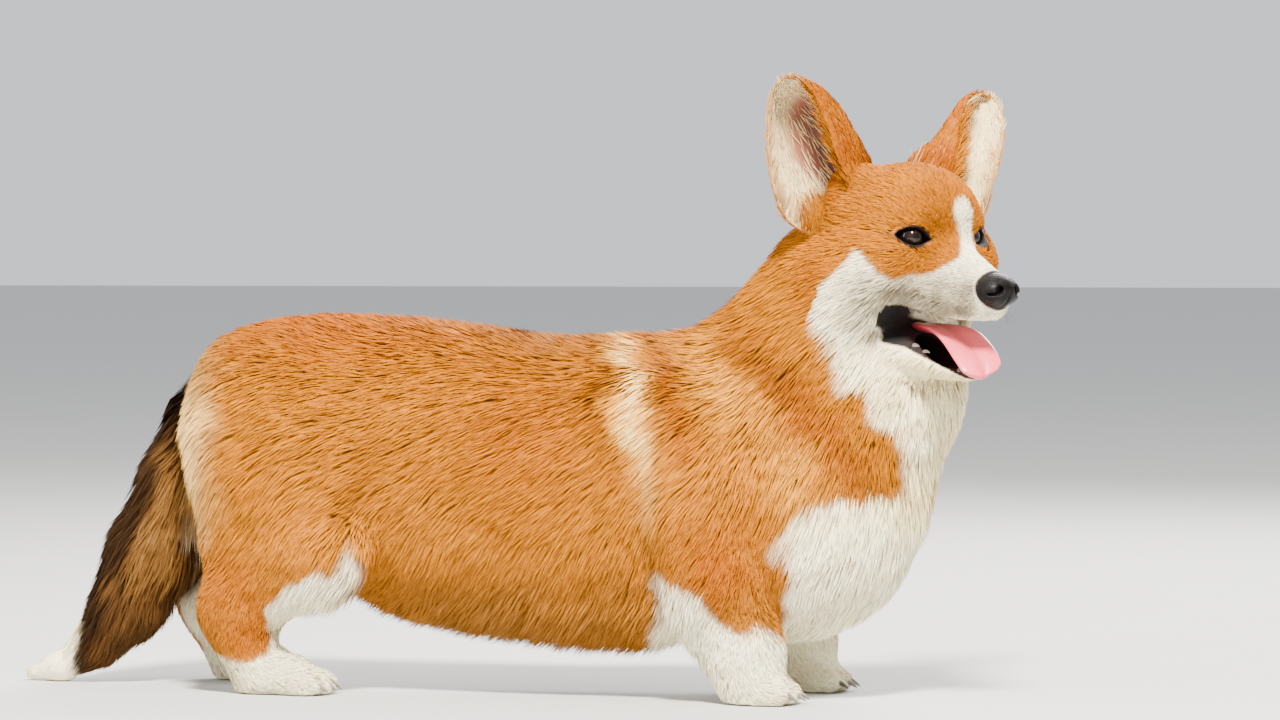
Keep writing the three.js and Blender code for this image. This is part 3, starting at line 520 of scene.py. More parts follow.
def relaxed(verts, quads, rounds, pull=0.5):
    """Evens out the surface by moving each point towards the middle of its neighbours."""
    edges = np.concatenate([quads[:, [i, (i + 1) % 4]] for i in range(4)])
    count = np.bincount(edges.ravel(), minlength=len(verts))[:, None]
    for _ in range(rounds):
        total = np.stack([
            np.bincount(edges[:, 0], verts[edges[:, 1], n], len(verts)) +
            np.bincount(edges[:, 1], verts[edges[:, 0], n], len(verts)) for n in range(3)
        ], -1)
        verts = verts + pull * (total / count - verts)
    return verts


# Colours, as the eye sees them, and kept linear on the surfaces.
def linear(r, g, b):
    c = vec(r, g, b)
    return np.where(c < 0.04045, c / 12.92, ((c + 0.055) / 1.055) ** 2.4).astype(np.float32)


GOLD = linear(0.655, 0.385, 0.0)
ORANGE = linear(0.60, 0.292, 0.0)
RUST = linear(0.40, 0.17, 0.0)
FAWN = linear(0.73, 0.445, 0.08)
CREAM = linear(1.0, 0.86, 0.54)
STRAW = linear(0.91, 0.63, 0.19)
WHITE = linear(1.0, 0.955, 0.82)
GREY = linear(0.52, 0.47, 0.38)
SABLE = linear(0.11, 0.07, 0.04)
UMBER = linear(0.32, 0.21, 0.10)
TAWNY = linear(0.47, 0.32, 0.15)
BLACK = linear(0.04, 0.03, 0.03)
PINK = linear(0.52, 0.28, 0.20)
# A dark red painted as the shade inside the mouth.
SHADED_MOUTH_RED = linear(0.12, 0.03, 0.03)
# Painted shade for the deepest part of the ears' hollows.
EAR_HOLLOW_SHADE = linear(0.32, 0.14, 0.10)
PALE = linear(1.0, 0.90, 0.68)


def smooth(value, start, end):
    t = np.clip((value - start) / (end - start), 0, 1)
    return t * t * (3 - 2 * t)


def toward(colour, tint, share):
    """Colours moved to a tint by a share for each point."""
    return colour + (tint - colour) * share[:, None]


def lattice(p, size, seed):
    """Soft noise from 0 to 1, with lumps of about the given size."""
    q = p / size + seed * 17.3
    cell = np.floor(q).astype(np.int64)
    t = q - cell
    t = t * t * (3 - 2 * t)
    total = 0
    for corner in range(8):
        d = np.array([(corner >> n) & 1 for n in range(3)])
        c = cell + d
        hashed = (c[:, 0] * 73856093) ^ (c[:, 1] * 19349663) ^ (c[:, 2] * 83492791) ^ (seed * 2654435)
        value = ((hashed * 1103515245 + 12345) & 0xFFFF) / 65535
        total = total + value * np.prod(np.where(d, t, 1 - t), axis=1)
    return total


# Blotches of colour on both sides of the trunk, a few of them painted shade: place (x, z), half sizes, turn
# in degrees, colour, strength.
BLOTCHES = [
    ((-230, 300), (150, 42), 0, ORANGE, 0.75),
    ((-62, 296), (46, 26), 0, UMBER, 0.55),
    ((-70, 215), (70, 60), 0, ORANGE, 0.5),
    ((-190, 130), (70, 50), 0, FAWN, 0.45),
    ((-90, 85), (150, 34), 0, FAWN, 0.75),
    # Painted shade under the body: the lower flank darkens to tawny, partly the coat's own browner tone, and
    # the fringe at the bottom to umber.
    ((-90, 62), (200, 34), 0, TAWNY, 0.75),
    ((-60, 34), (190, 18), 0, UMBER, 0.5),
    ((20, 225), (62, 15), 98, STRAW, 1.0),
    ((20, 225), (60, 7), 98, CREAM, 0.8),
    ((-6, 245), (55, 9), 98, RUST, 0.55),
    ((40, 250), (50, 9), 98, RUST, 0.4),
    ((52, 235), (55, 12), 105, ORANGE, 0.7),
    ((92, 250), (44, 20), 125, STRAW, 0.6),
    ((70, 170), (60, 40), 0, FAWN, 0.5),
    ((128, 262), (70, 13), 130, RUST, 0.55),
    ((165, 215), (62, 20), 128, ORANGE, 0.6),
    ((196, 190), (40, 16), 120, RUST, 0.5),
    ((150, 178), (34, 20), 130, STRAW, 0.6),
    # Painted shade: a dark stroke in the fold at the front of the thigh.
    ((-207, 172), (9, 40), -22, RUST, 0.4),
    ((-345, 296), (40, 18), 0, RUST, 0.6),
    ((-352, 200), (22, 80), 0, CREAM, 0.75),
    ((-362, 262), (30, 22), 0, SABLE, 0.8),
    ((-285, 215), (48, 46), 0, GOLD, 0.5),
    ((-262, 150), (36, 40), 0, FAWN, 0.35),
    ((-322, 90), (40, 30), 0, ORANGE, 0.6),
    ((-300, 52), (24, 20), 0, ORANGE, 0.7),
    ((88, 110), (44, 40), 0, ORANGE, 0.75),
]
CHEST_EDGE = [(60, 142), (108, 140), (126, 139), (138, 144), (150, 160), (158, 178), (164, 206), (172, 238),
              (194, 234), (212, 224), (234, 204), (252, 186), (274, 174), (300, 168), (326, 176), (358, 212)]
FACE_EDGE = [(-110, -140), (-98, -65), (-88, -39), (-62, -22), (-44, -9), (-36, -14), (-23, -24), (-2, -31),
             (14, -28), (25, -19), (31, -6), (36, 10), (60, 30)]

# Beyond this width on the cheeks, that edge runs back by this much to each millimetre.
CHEEK_WIDTH = 55
CHEEK_SLANT = 1.19


def coat_colour(p):
    """The dog's markings at points on its skin, with painted shade low on the trunk and in the fold at the
    front of the thigh.
    """
    wander = np.stack([lattice(p, 22, s) - 0.5 for s in (1, 2, 3)], -1) * 22
    q = p + wander
    side = np.abs(q[:, 1])
    x, z = q[:, 0] + 0.25 * (95 - side), q[:, 2]
    low = smooth(z, 230, 70)[:, None]
    colour = GOLD * (1 - low) + (GOLD * 0.35 + FAWN * 0.65) * low
    for (cx, cz), (a, b), turn, tint, strength in BLOTCHES:
        c, s = math.cos(math.radians(turn)), math.sin(math.radians(turn))
        u, v = (x - cx) * c + (z - cz) * s, -(x - cx) * s + (z - cz) * c
        share = strength * np.exp(-((u / a) ** 2 + (v / b) ** 2) * 1.2)
        colour = toward(colour, tint, share)

    def lay(tint, share):
        return toward(colour, tint, np.clip(share, 0, 1))

    edge_z, edge_x = zip(*CHEST_EDGE)
    chest = smooth(x - np.interp(z, edge_z, edge_x), -7, 9)
    inner_side = np.interp(q[:, 0], (-250, -215, 40, 80), (46, -20, -20, 50))
    inner = smooth(side - inner_side, 6, -6) * smooth(z, 150, 100)
    fore = smooth(108 - 0.62 * (x - 31) - z, -5, 5) * smooth(x, 26, 44)
    lag = np.where(q[:, 1] > 0, 50, 0)
    knee = smooth(71 + 0.6 * (x + lag + 284) - z, -6, 4) * smooth(x + lag, -292, -282) * smooth(z, 125, 110)
    hind = smooth(34 + 0.35 * (x + lag + 300) - z, -4, 4) * smooth(x, -200, -220)
    white = np.maximum.reduce([chest, inner, fore, knee * smooth(x, -205, -222), hind])

    h = to_head(p)
    hw = h + wander * 0.35
    skull = smooth(head_mass(p), 16, 4)
    f, l, u = hw[:, 0], np.abs(h[:, 1] + 0.3 * wander[:, 1]), hw[:, 2]
    face_f, face_u = zip(*FACE_EDGE)
    cheek = CHEEK_SLANT * np.maximum(l - CHEEK_WIDTH, 0)
    face = smooth(np.interp(f - cheek, face_f, face_u) - u, -3, 3)
    off_blaze = np.abs(h[:, 1] + 0.6 * wander[:, 1] - 7 * smooth(u, -20, 0))
    blaze_width = np.interp(u, (-20, 0, 8, 20, 30, 35), (16, 7, 7, 10, 6, 0))
    blaze = smooth(off_blaze - blaze_width, 3, -3) * smooth(u, 36, 28)
    face = np.maximum(face, blaze * smooth(f, -30, -10))
    white = white * (1 - skull) + face * skull
    red = toward(GOLD, ORANGE, 0.1 + 0.45 * lattice(p, 30, 5))
    colour = lay(red, skull * 0.9)
    muzzle = smooth(f, -60, -5) * smooth(u, -16, -44) * smooth(l, 8, 20) * skull
    muzzle = muzzle * (0.7 + 0.4 * lattice(p, 8, 12)) * smooth(u, -84, -70)
    colour = toward(colour, toward(WHITE, GREY, np.minimum(muzzle, 1)), white)
    cream = white * smooth(x, 60, 190) * (1 - skull) * (1 - smooth(z, 150, 110)) * lattice(p, 34, 7)
    colour = lay(CREAM, cream * 0.5)

    for sign in (-1, 1):
        t = turned(h, sign)
        # A thin umber line runs back from the outer corner of each eye.
        lid_line = np.hypot((t[:, 1] * sign - 17) / 9, (t[:, 2] + 1) / 2.5)
        colour = lay(UMBER, 0.7 * smooth(lid_line, 1.3, 0.5) * (t[:, 0] > -6))
        ring = eye_opening(h, sign)
        colour = lay(BLACK, smooth(ring, 2.4, 1.3) * (t[:, 0] > -4))
    colour = lay(BLACK, smooth(ellipsoid(h, NOSE_AT, NOSE_RADII), 2.5, 1.0))
    tail = smooth(tail_mass(p), 10, 2) * smooth(x, -345, -356)
    top = smooth(q[:, 0] - 0.36 * (q[:, 2] - 165) + 398, 2, -16)
    streaks = 0.4 + 0.6 * lattice(p, 14, 6)
    brush = toward(UMBER, TAWNY, (1 - top) * smooth(z, 62, 100) * streaks)
    brush = toward(brush, SABLE, np.maximum(0.8 * top, smooth(z, 185, 235)))
    brush = toward(brush, WHITE, smooth(q[:, 0], -462, -474))
    return toward(colour, brush, tail)


def mouth_paint(p, colour):
    """Black lips, and a dark wet mouth inside them painted as shade, where the skin turns into the mouth."""
    q = to_head(p)
    mouth = mouth_distance(q)
    lower = smooth(q[:, 2] + 0.4 * q[:, 0], -68, -78)
    inside = smooth(mouth - 1.4 - 1.8 * lower, 2.2, 1.0)
    inside = np.maximum(inside, smooth(gullet_distance(q), 1, -1))
    trough = smooth(ellipsoid(q, *TROUGH), 2.5, 0.8)
    near = np.minimum(head_mass(p), round_cone(q, JAW))
    lips_and_mouth_shade = np.maximum(inside, trough) * (q[:, 0] < 60) * (near < 14)
    # Painted shade: the walls inside the mouth go black and its middle a dark red; only the black of the
    # lips is the dog's own colour.
    tint = toward(BLACK, SHADED_MOUTH_RED, smooth(np.abs(q[:, 1]), 30, 12))
    return toward(colour, tint, lips_and_mouth_shade), lips_and_mouth_shade


SHIFT = (np.array(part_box("eye_right")).mean(axis=0) * 1000).astype(np.float32)
SHIFT = SHIFT - from_head((EYE_AT[0], -EYE_AT[1], EYE_AT[2]))
SHIFT[2] = 0


def metres(p):
    return (p + SHIFT) / 1000


def new_mesh(name, verts, faces, colour=None, uv=None, flat=False):
    """A mesh object in the row frame from millimetre points, riding on the body."""
    faces = np.asarray(faces)
    mesh = bpy.data.meshes.new(name)
    mesh.vertices.add(len(verts))
    mesh.vertices.foreach_set("co", metres(np.asarray(verts, dtype=np.float32)).astype(np.float32).ravel())
    mesh.loops.add(faces.size)
    mesh.loops.foreach_set("vertex_index", faces.astype(np.int32).ravel())
    mesh.polygons.add(len(faces))
    mesh.polygons.foreach_set("loop_start", np.arange(0, faces.size, faces.shape[1], dtype=np.int32))
    mesh.update(calc_edges=True)
    if not flat:
        mesh.shade_smooth()
    if colour is not None:
        paint(mesh, colour)
    if uv is not None:
        mesh.uv_layers.new(name="OFBake").data.foreach_set("uv", uv.astype(np.float32).ravel())
    obj = bpy.data.objects.new(name, mesh)
    bpy.context.scene.collection.objects.link(obj)
    return obj


def paint(mesh, colour):
    layer = mesh.color_attributes.new("Coat", "FLOAT_COLOR", "POINT")
    rgba = np.concatenate([np.clip(colour, 0, 1), np.ones((len(colour), 1))], 1)
    layer.data.foreach_set("color", rgba.astype(np.float32).ravel())


def placed(obj, material, nodes=()):
    obj.data.materials.append(material)
    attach(obj, "root")
    if nodes:
        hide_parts(*nodes)
    return obj


# Materials.
def node_material(name, **values):
    material = bpy.data.materials.new(name)
    material.use_nodes = True
    tree = material.node_tree
    shader = tree.nodes["Principled BSDF"]
    for key, value in values.items():
        shader.inputs[key.replace("_", " ")].default_value = value
    return material, tree, shader


def add_node(tree, kind, **values):
    node = tree.nodes.new(kind)
    for key, value in values.items():
        if hasattr(node, key):
            setattr(node, key, value)
        else:
            node.inputs[key.replace("_", " ")].default_value = value
    return node


def noise_of(tree, scale, detail=3.0, stretch=None):
    place = add_node(tree, "ShaderNodeTexCoord")
    texture = add_node(tree, "ShaderNodeTexNoise", Scale=scale, Detail=detail)
    source = place.outputs["Object"]
    if stretch:
        mapping = add_node(tree, "ShaderNodeMapping", Scale=stretch)
        tree.links.new(source, mapping.inputs["Vector"])
        source = mapping.outputs["Vector"]
    tree.links.new(source, texture.inputs["Vector"])
    return texture


def mixed(tree, base, tint, share, mode="MIX"):
    mix = tree.nodes.new("ShaderNodeMix")
    mix.data_type = "RGBA"
    mix.blend_type = mode
    for socket, value in ((mix.inputs[6], base), (mix.inputs[7], tint), (mix.inputs[0], share)):
        if isinstance(value, bpy.types.NodeSocket):
            tree.links.new(value, socket)
        else:
            socket.default_value = value
    return mix.outputs[2]


def ranged(tree, source, low, high, new_low, new_high):
    node = add_node(tree, "ShaderNodeMapRange")
    for key, value in (("From Min", low), ("From Max", high), ("To Min", new_low), ("To Max", new_high)):
        node.inputs[key].default_value = value
    tree.links.new(source, node.inputs["Value"])
    return node.outputs["Result"]


def bumped(tree, shader, height, strength, distance):
    bump = add_node(tree, "ShaderNodeBump", Strength=strength, Distance=distance)
    tree.links.new(height, bump.inputs["Height"])
    tree.links.new(bump.outputs["Normal"], shader.inputs["Normal"])


def painted(tree):
    return add_node(tree, "ShaderNodeVertexColor", layer_name="Coat").outputs["Color"]


def grained(tree, shader, texture, tint, spread, strength, depth):
    """Darkens the painted colour along a fine texture and roughens the surface with it."""
    height = texture.outputs["Fac"]
    colour = mixed(tree, painted(tree), (*tint, 1), ranged(tree, height, *spread), "MULTIPLY")
    tree.links.new(colour, shader.inputs["Base Color"])
    bumped(tree, shader, height, strength, depth)


def fur_material(name, roughness, gloss):
    material, tree, shader = node_material(name, Roughness=roughness, Specular_IOR_Level=gloss)
    fine = noise_of(tree, 420, 2.0)
    grained(tree, shader, fine, (0.55, 0.5, 0.45), (0.35, 0.75, 0, 0.55), 0.25, 0.0004)
    return material


def skin_material():
    material, tree, shader = node_material("skin", Roughness=0.75, Specular_IOR_Level=0.25)
    hair = noise_of(tree, 260, 4.0, (0.35, 1, 1))
    grained(tree, shader, hair, (0.7, 0.64, 0.58), (0.3, 0.7, 0, 0.6), 0.6, 0.0012)
    return material


def leather_material(name, dark, light, roughness, scale, depth, coat=0.0):
    look = {"Roughness": roughness, "Coat_Weight": coat, "Coat_Roughness": 0.15, "Specular_IOR_Level": 0.08}
    material, tree, shader = node_material(name, **look)
    cells = add_node(tree, "ShaderNodeTexVoronoi", Scale=scale)
    place = add_node(tree, "ShaderNodeTexCoord")
    tree.links.new(place.outputs["Object"], cells.inputs["Vector"])
    soft = noise_of(tree, scale * 0.15)
    tint = mixed(tree, (*dark, 1), (*light, 1), ranged(tree, soft.outputs["Fac"], 0.35, 0.7, 0, 1))
    tree.links.new(tint, shader.inputs["Base Color"])
    rough = ranged(tree, soft.outputs["Fac"], 0.3, 0.7, roughness * 0.8, roughness * 1.25)
    tree.links.new(rough, shader.inputs["Roughness"])
    bumped(tree, shader, cells.outputs["Distance"], 0.5, depth)
    return material


def painted_wet(name, roughness, coat, bump, gloss=0.4):
    look = {"Roughness": roughness, "Coat_Weight": coat, "Coat_Roughness": 0.08, "Specular_IOR_Level": gloss}
    material, tree, shader = node_material(name, **look)
    grain = noise_of(tree, 700, 3.0)
    grained(tree, shader, grain, (0.8, 0.72, 0.7), (0.4, 0.7, 0, 0.5), bump, 0.0005)
    return material


# How many tufts grow on the body and on each ear, and how many go into one piece at most.
BODY_TUFTS = 262000
EAR_TUFTS = 10000
MOST_TUFTS = 39000

# The coat: flat tapering tufts of three lengths, drawn together at their tips.
COLOUR_AT = 0.72
TUFT = vec(0.0, 0.34, 0.7, 1.0)
WIDTH = vec(0.75, 1.0, 0.72, 0.0)
SHADE = vec(0.74, 0.92, 1.03, 1.08)


def unit(v):
    return v / (np.linalg.norm(v, axis=-1, keepdims=True) + 1e-9)


def along(flow, normal):
    return unit(flow - normal * (flow * normal).sum(-1, keepdims=True))


def drawn_together(paths, spacing, pull):
    """Bends each tuft's outer half towards a neighbour's, so that tips gather."""
    leaders = np.arange(0, len(paths), spacing)
    tree = kdtree.KDTree(len(leaders))
    for number, leader in enumerate(leaders):
        tree.insert(paths[leader, 0].tolist(), number)
    tree.balance()
    nearest = np.array([tree.find(root)[1] for root in paths[:, 0].tolist()])
    lead = paths[leaders[nearest]]
    share = pull * RNG.uniform(0.4, 1.0, len(paths))[:, None, None] * (TUFT**1.4)[None, :, None]
    return paths + (lead - paths) * share


def tufts(paths, normals, width, roll, colour, uv):
    """Ribbons along the paths, with their colours and their patches of the skin's unwrap."""
    count = len(paths)
    run = unit(np.gradient(paths, axis=1))
    side = unit(np.cross(normals[:, None, :], run))
    side = side * np.cos(roll)[:, None, None] + normals[:, None, :] * np.sin(roll)[:, None, None]
    half = (width[:, None] * WIDTH[None, :] / 2)[..., None] * side
    verts = np.empty((count, 7, 3), dtype=np.float32)
    verts[:, 0:6:2] = paths[:, :3] - half[:, :3]
    verts[:, 1:6:2] = paths[:, :3] + half[:, :3]
    verts[:, 6] = paths[:, 3]
    base = np.arange(count)[:, None] * 7
    tris = np.array([[0, 1, 3], [0, 3, 2], [2, 3, 5], [2, 5, 4], [4, 5, 6]])
    faces = (base[:, None, :] + tris[None]).reshape(-1, 3)
    shade = np.repeat(SHADE, (2, 2, 2, 1))[None, :, None]
    colours = np.repeat(colour[:, None, :], 7, axis=1) * shade
    patch_u = np.array([-1, 1, -1, 1, -1, 1, 0]) * 0.0012
    patch_v = np.repeat([0, 0.001, 0.002, 0.003], (2, 2, 2, 1))
    spot = np.stack([patch_u, patch_v], -1)
    corners = uv[:, None, None, :] + spot[tris][None]
    return verts.reshape(-1, 3), faces, colours.reshape(-1, 3), corners.reshape(-1, 2)


def scattered(mesh, count, density):
    """Roots spread over a mesh's faces: places, normals and their spots on the unwrap."""
    mesh.calc_loop_triangles()
    tri_count = len(mesh.loop_triangles)
    corners = np.empty(tri_count * 3, dtype=np.int32)
    loops = np.empty(tri_count * 3, dtype=np.int32)
    mesh.loop_triangles.foreach_get("vertices", corners)
    mesh.loop_triangles.foreach_get("loops", loops)
    points = np.empty(len(mesh.vertices) * 3, dtype=np.float32)
    mesh.vertices.foreach_get("co", points)
    normals = np.empty_like(points)
    mesh.vertices.foreach_get("normal", normals)
    uvs = np.empty(len(mesh.loops) * 2, dtype=np.float32)
    mesh.uv_layers.active.data.foreach_get("uv", uvs)
    points = points.reshape(-1, 3) * 1000 - SHIFT
    normals, uvs = normals.reshape(-1, 3), uvs.reshape(-1, 2)
    corners, loops = corners.reshape(-1, 3), loops.reshape(-1, 3)
    a, b, c = (points[corners[:, n]] for n in range(3))
    area = np.linalg.norm(np.cross(b - a, c - a), axis=1) / 2 * density((a + b + c) / 3)
    picks = np.sort(RNG.choice(tri_count, count, p=area / area.sum()))
    s, t = np.sqrt(RNG.random(count)), RNG.random(count)
    share = np.stack([1 - s, s * (1 - t), s * t], -1).astype(np.float32)

    def mix(values, index):
        return (values[index[picks]] * share[..., None]).sum(1)

    return mix(points, corners), unit(mix(normals, corners)), mix(uvs, loops)


def unwrap(obj):
    """An unwrap of the object's own shape."""
    bpy.context.view_layer.objects.active = obj
    obj.select_set(True)
    bpy.ops.object.mode_set(mode="EDIT")
    bpy.ops.mesh.select_all(action="SELECT")
    bpy.ops.uv.smart_project(angle_limit=math.radians(66), island_margin=0.002)
    bpy.ops.object.mode_set(mode="OBJECT")
    obj.select_set(False)
    obj.data.uv_layers.active.name = "OFBake"


def body_density(p):
    """Finer coats are thicker set: most tufts to the area on the head, then the legs."""
    length = coat_at(p)[2]
    dense = np.interp(length, (5, 10, 20, 32, 50), (5.2, 3.4, 1.9, 1.25, 1.0))
    lips_and_mouth_shade = mouth_paint(p, np.zeros_like(p))[1]
    h = to_head(p)
    bare = lips_and_mouth_shade > 0.3
    for side in (-1, 1):
        bare |= (eye_opening(h, side) < 2.4) & (turned(h, side)[:, 0] > -4)
    bare |= ellipsoid(h, NOSE_AT, NOSE_RADII) < 1.5
    bare |= p[:, 2] < 1.2
    return np.where(bare, 0, dense)


def kept_out_of_mouth(paths):
    """Shortens the tufts that would hang over the open mouth."""
    q = to_head(paths[:, 1:])
    covers = (mouth_distance(q) < 1.2) | (gullet_distance(q) < 0)
    reach = np.where(covers[:, 0], 0.12, np.where(covers[:, 1], 0.32, np.where(covers[:, 2], 0.66, 1.0)))
    return paths[:, :1] + (paths - paths[:, :1]) * reach[:, None, None].astype(np.float32)


def body_coat(skin, outline, count):
    roots, normals, uv = scattered(skin.data, count, body_density)
    flow, depth, length = coat_at(roots)
    tail = smooth(tail_mass(roots), 4, -3) * smooth(roots[:, 0], -345, -358)
    spine = spline([point for point, _ in TAIL], np.linspace(0, 1, 40))
    nearest = np.argmin(((roots[:, None, :] - spine[None, ::2]) ** 2).sum(-1), axis=1) * 2
    heading = unit(spine[np.minimum(nearest + 1, 39)] - spine[np.maximum(nearest - 1, 0)])
    flow = flow + (heading - flow) * tail[:, None]
    length = length + (np.interp(roots[:, 0], (-530, -480, -420, -380), (12, 40, 66, 56)) - length) * tail
    swirl = np.stack([lattice(roots, 16, s) - 0.5 for s in (21, 22, 23)], -1)
    flow = unit(flow) + swirl * 0.42 + RNG.normal(0, 0.10, roots.shape)
    length = length * RNG.uniform(0.72, 1.18, count)
    level = outline.at(roots)
    paths = np.empty((count, 4, 3), dtype=np.float32)
    paths[:, 0] = roots - normals * 0.8
    here, out = roots, normals
    proud = RNG.uniform(-0.16, 0.14, count)
    hang = smooth(roots[:, 2], 120, 85) * smooth(roots[:, 0], -265, -200) * smooth(roots[:, 0], 80, 40)
    hang = hang * RNG.uniform(2, 16, count)
    for n in range(1, 4):
        here = here + along(flow, out) * (length * (TUFT[n] - TUFT[n - 1]))[:, None]
        target = level * (1 - TUFT[n] ** 0.75 * (0.98 + proud)) - 0.5 + hang * TUFT[n] ** 2
        out, steep = outline.slope(here)
        move = np.clip((target - outline.at(here)) / np.maximum(steep, 0.4), -12, 12)
        here = here + out * move[:, None]
        here[:, 2] = np.maximum(here[:, 2], 1.0)
        paths[:, n] = here
    gather = np.clip(length / 40, 0.15, 1)
    bent = drawn_together(paths, 18, 0.5)
    paths = paths + (bent - paths) * gather[:, None, None]
    paths = kept_out_of_mouth(paths)
    shown = roots + (paths[:, 3] - roots) * COLOUR_AT
    colour = coat_colour(shown)
    colour, _ = mouth_paint(roots, colour)
    streak = lattice(roots * vec(0.4, 1, 1), 7, 31)
    colour = colour * (0.81 + 0.32 * streak + RNG.normal(0, 0.06, count))[:, None]
    width = np.interp(length, (5, 12, 30, 60), (0.75, 1.05, 1.65, 2.2)) * RNG.uniform(0.7, 1.25, count)
    roll = RNG.normal(0, 0.4, count)
    return roots, tufts_table(paths, normals, width, roll, colour, uv)


def tufts_table(paths, normals, width, roll, colour, uv):
    return {"paths": paths, "normals": normals, "width": width, "roll": roll, "colour": colour, "uv": uv}


def coat_pieces(name, table, chosen, material):
    """Makes one region's tufts, in pieces that each stay under the limit of triangles."""
    picks = np.nonzero(chosen)[0]
    parts = max(1, math.ceil(len(picks) / MOST_TUFTS))
    for number, part in enumerate(np.array_split(picks, parts)):
        own = {key: value[part] for key, value in table.items()}
        verts, faces, colours, corners = tufts(**own)
        label = name if parts == 1 else f"{name}_{number + 1}"
        placed(new_mesh(label, verts, faces, colours, corners, flat=True), material)


# Faces of forms built from rings of points, the rings one after another.
def ring_quads(rings, around):
    r, s = np.meshgrid(np.arange(rings - 1), np.arange(around), indexing="ij")
    here, beside = r * around + s, r * around + (s + 1) % around
    return np.stack([here, beside, beside + around, here + around], -1).reshape(-1, 4)


def tube_faces(base, rings, around):
    faces = []
    for r in range(rings - 1):
        for i in range(around):
            a, b = base + r * around + i, base + r * around + (i + 1) % around
            faces += [(a, b, b + around), (a, b + around, a + around)]
    return faces


# The ears: cupped sheets, lofted from rim to rim.
def ear_shape(side, rings=30, steps_across=18):
    name = "right" if side < 0 else "left"
    ts = np.linspace(0, 1, rings)
    outer, inner, front = (spline(EARS[name][rim], ts) for rim in ("outer", "inner", "front"))
    depth, wall = (spline(values, ts)[:, 1] for values in (EAR_DEPTH, EAR_WALL))
    rise = unit(np.gradient(inner, axis=0))
    inside, outside = [], []
    across = np.linspace(0, 1, steps_across)
    for r in range(rings):
        back = lambda share, part: outer[r] * (1 - share) + inner[r] * share + EAR_AWAY * depth[r] * part
        section = spline([outer[r], back(0.25, 0.85), back(0.7, 0.9), inner[r], front[r]], across)
        normal = unit(np.cross(np.gradient(section, axis=0), rise[r]))
        thick = wall[r] * (0.3 + 0.7 * np.sin(np.pi * across))[:, None]
        inside.append(section - side * normal * thick)
        outside.append(section)
    return from_head(np.array(inside)), from_head(np.array(outside))


def ear_mesh(side):
    inside, outside = ear_shape(side)
    rings, wide = inside.shape[:2]
    loop = np.concatenate([inside, outside[:, ::-1]], axis=1)
    around = 2 * wide
    verts = loop.reshape(-1, 3)
    tip, end = (rings - 1) * around, rings * around
    cap = np.array([[tip + i, tip + i + 1, end - 2 - i, end - 1 - i] for i in range(wide - 1)])
    faces = [ring_quads(rings, around), cap]
    if side > 0:
        faces = [part[:, ::-1] for part in faces]
    return verts, np.concatenate(faces), inside, outside


def ear_paint(p, near, face_in, wide, rings):
    """Orange backs, cream rims and a pink hollow, darker at its deepest as painted shade. near is the
    closest point of the ear's inside.
    """
    t, s = near // wide / (rings - 1), near % wide / (wide - 1)
    hollow = np.exp(-(((s - 0.55) / 0.3) ** 2 + ((t - 0.4) / 0.34) ** 2))
    colour = toward(PALE, PINK, smooth(hollow, 0.2, 0.7))
    colour = toward(colour, EAR_HOLLOW_SHADE, 0.8 * smooth(hollow, 0.65, 1.0))
    rough = 0.08 * lattice(p, 9, 8)
    gold = np.maximum.reduce([smooth(s + rough, 0.84, 0.96), 0.8 * smooth(t - rough, 0.86, 0.96),
                              0.6 * smooth(s - rough, 0.03, -0.03), smooth(t - rough, 0.12, 0.04)])
    colour = toward(colour, GOLD, gold)
    back = toward(GOLD, ORANGE, lattice(p, 20, 9))
    back = toward(back, STRAW, 0.75 * smooth(s, 0.14, 0.02))
    return toward(back, colour, face_in), s, t, hollow


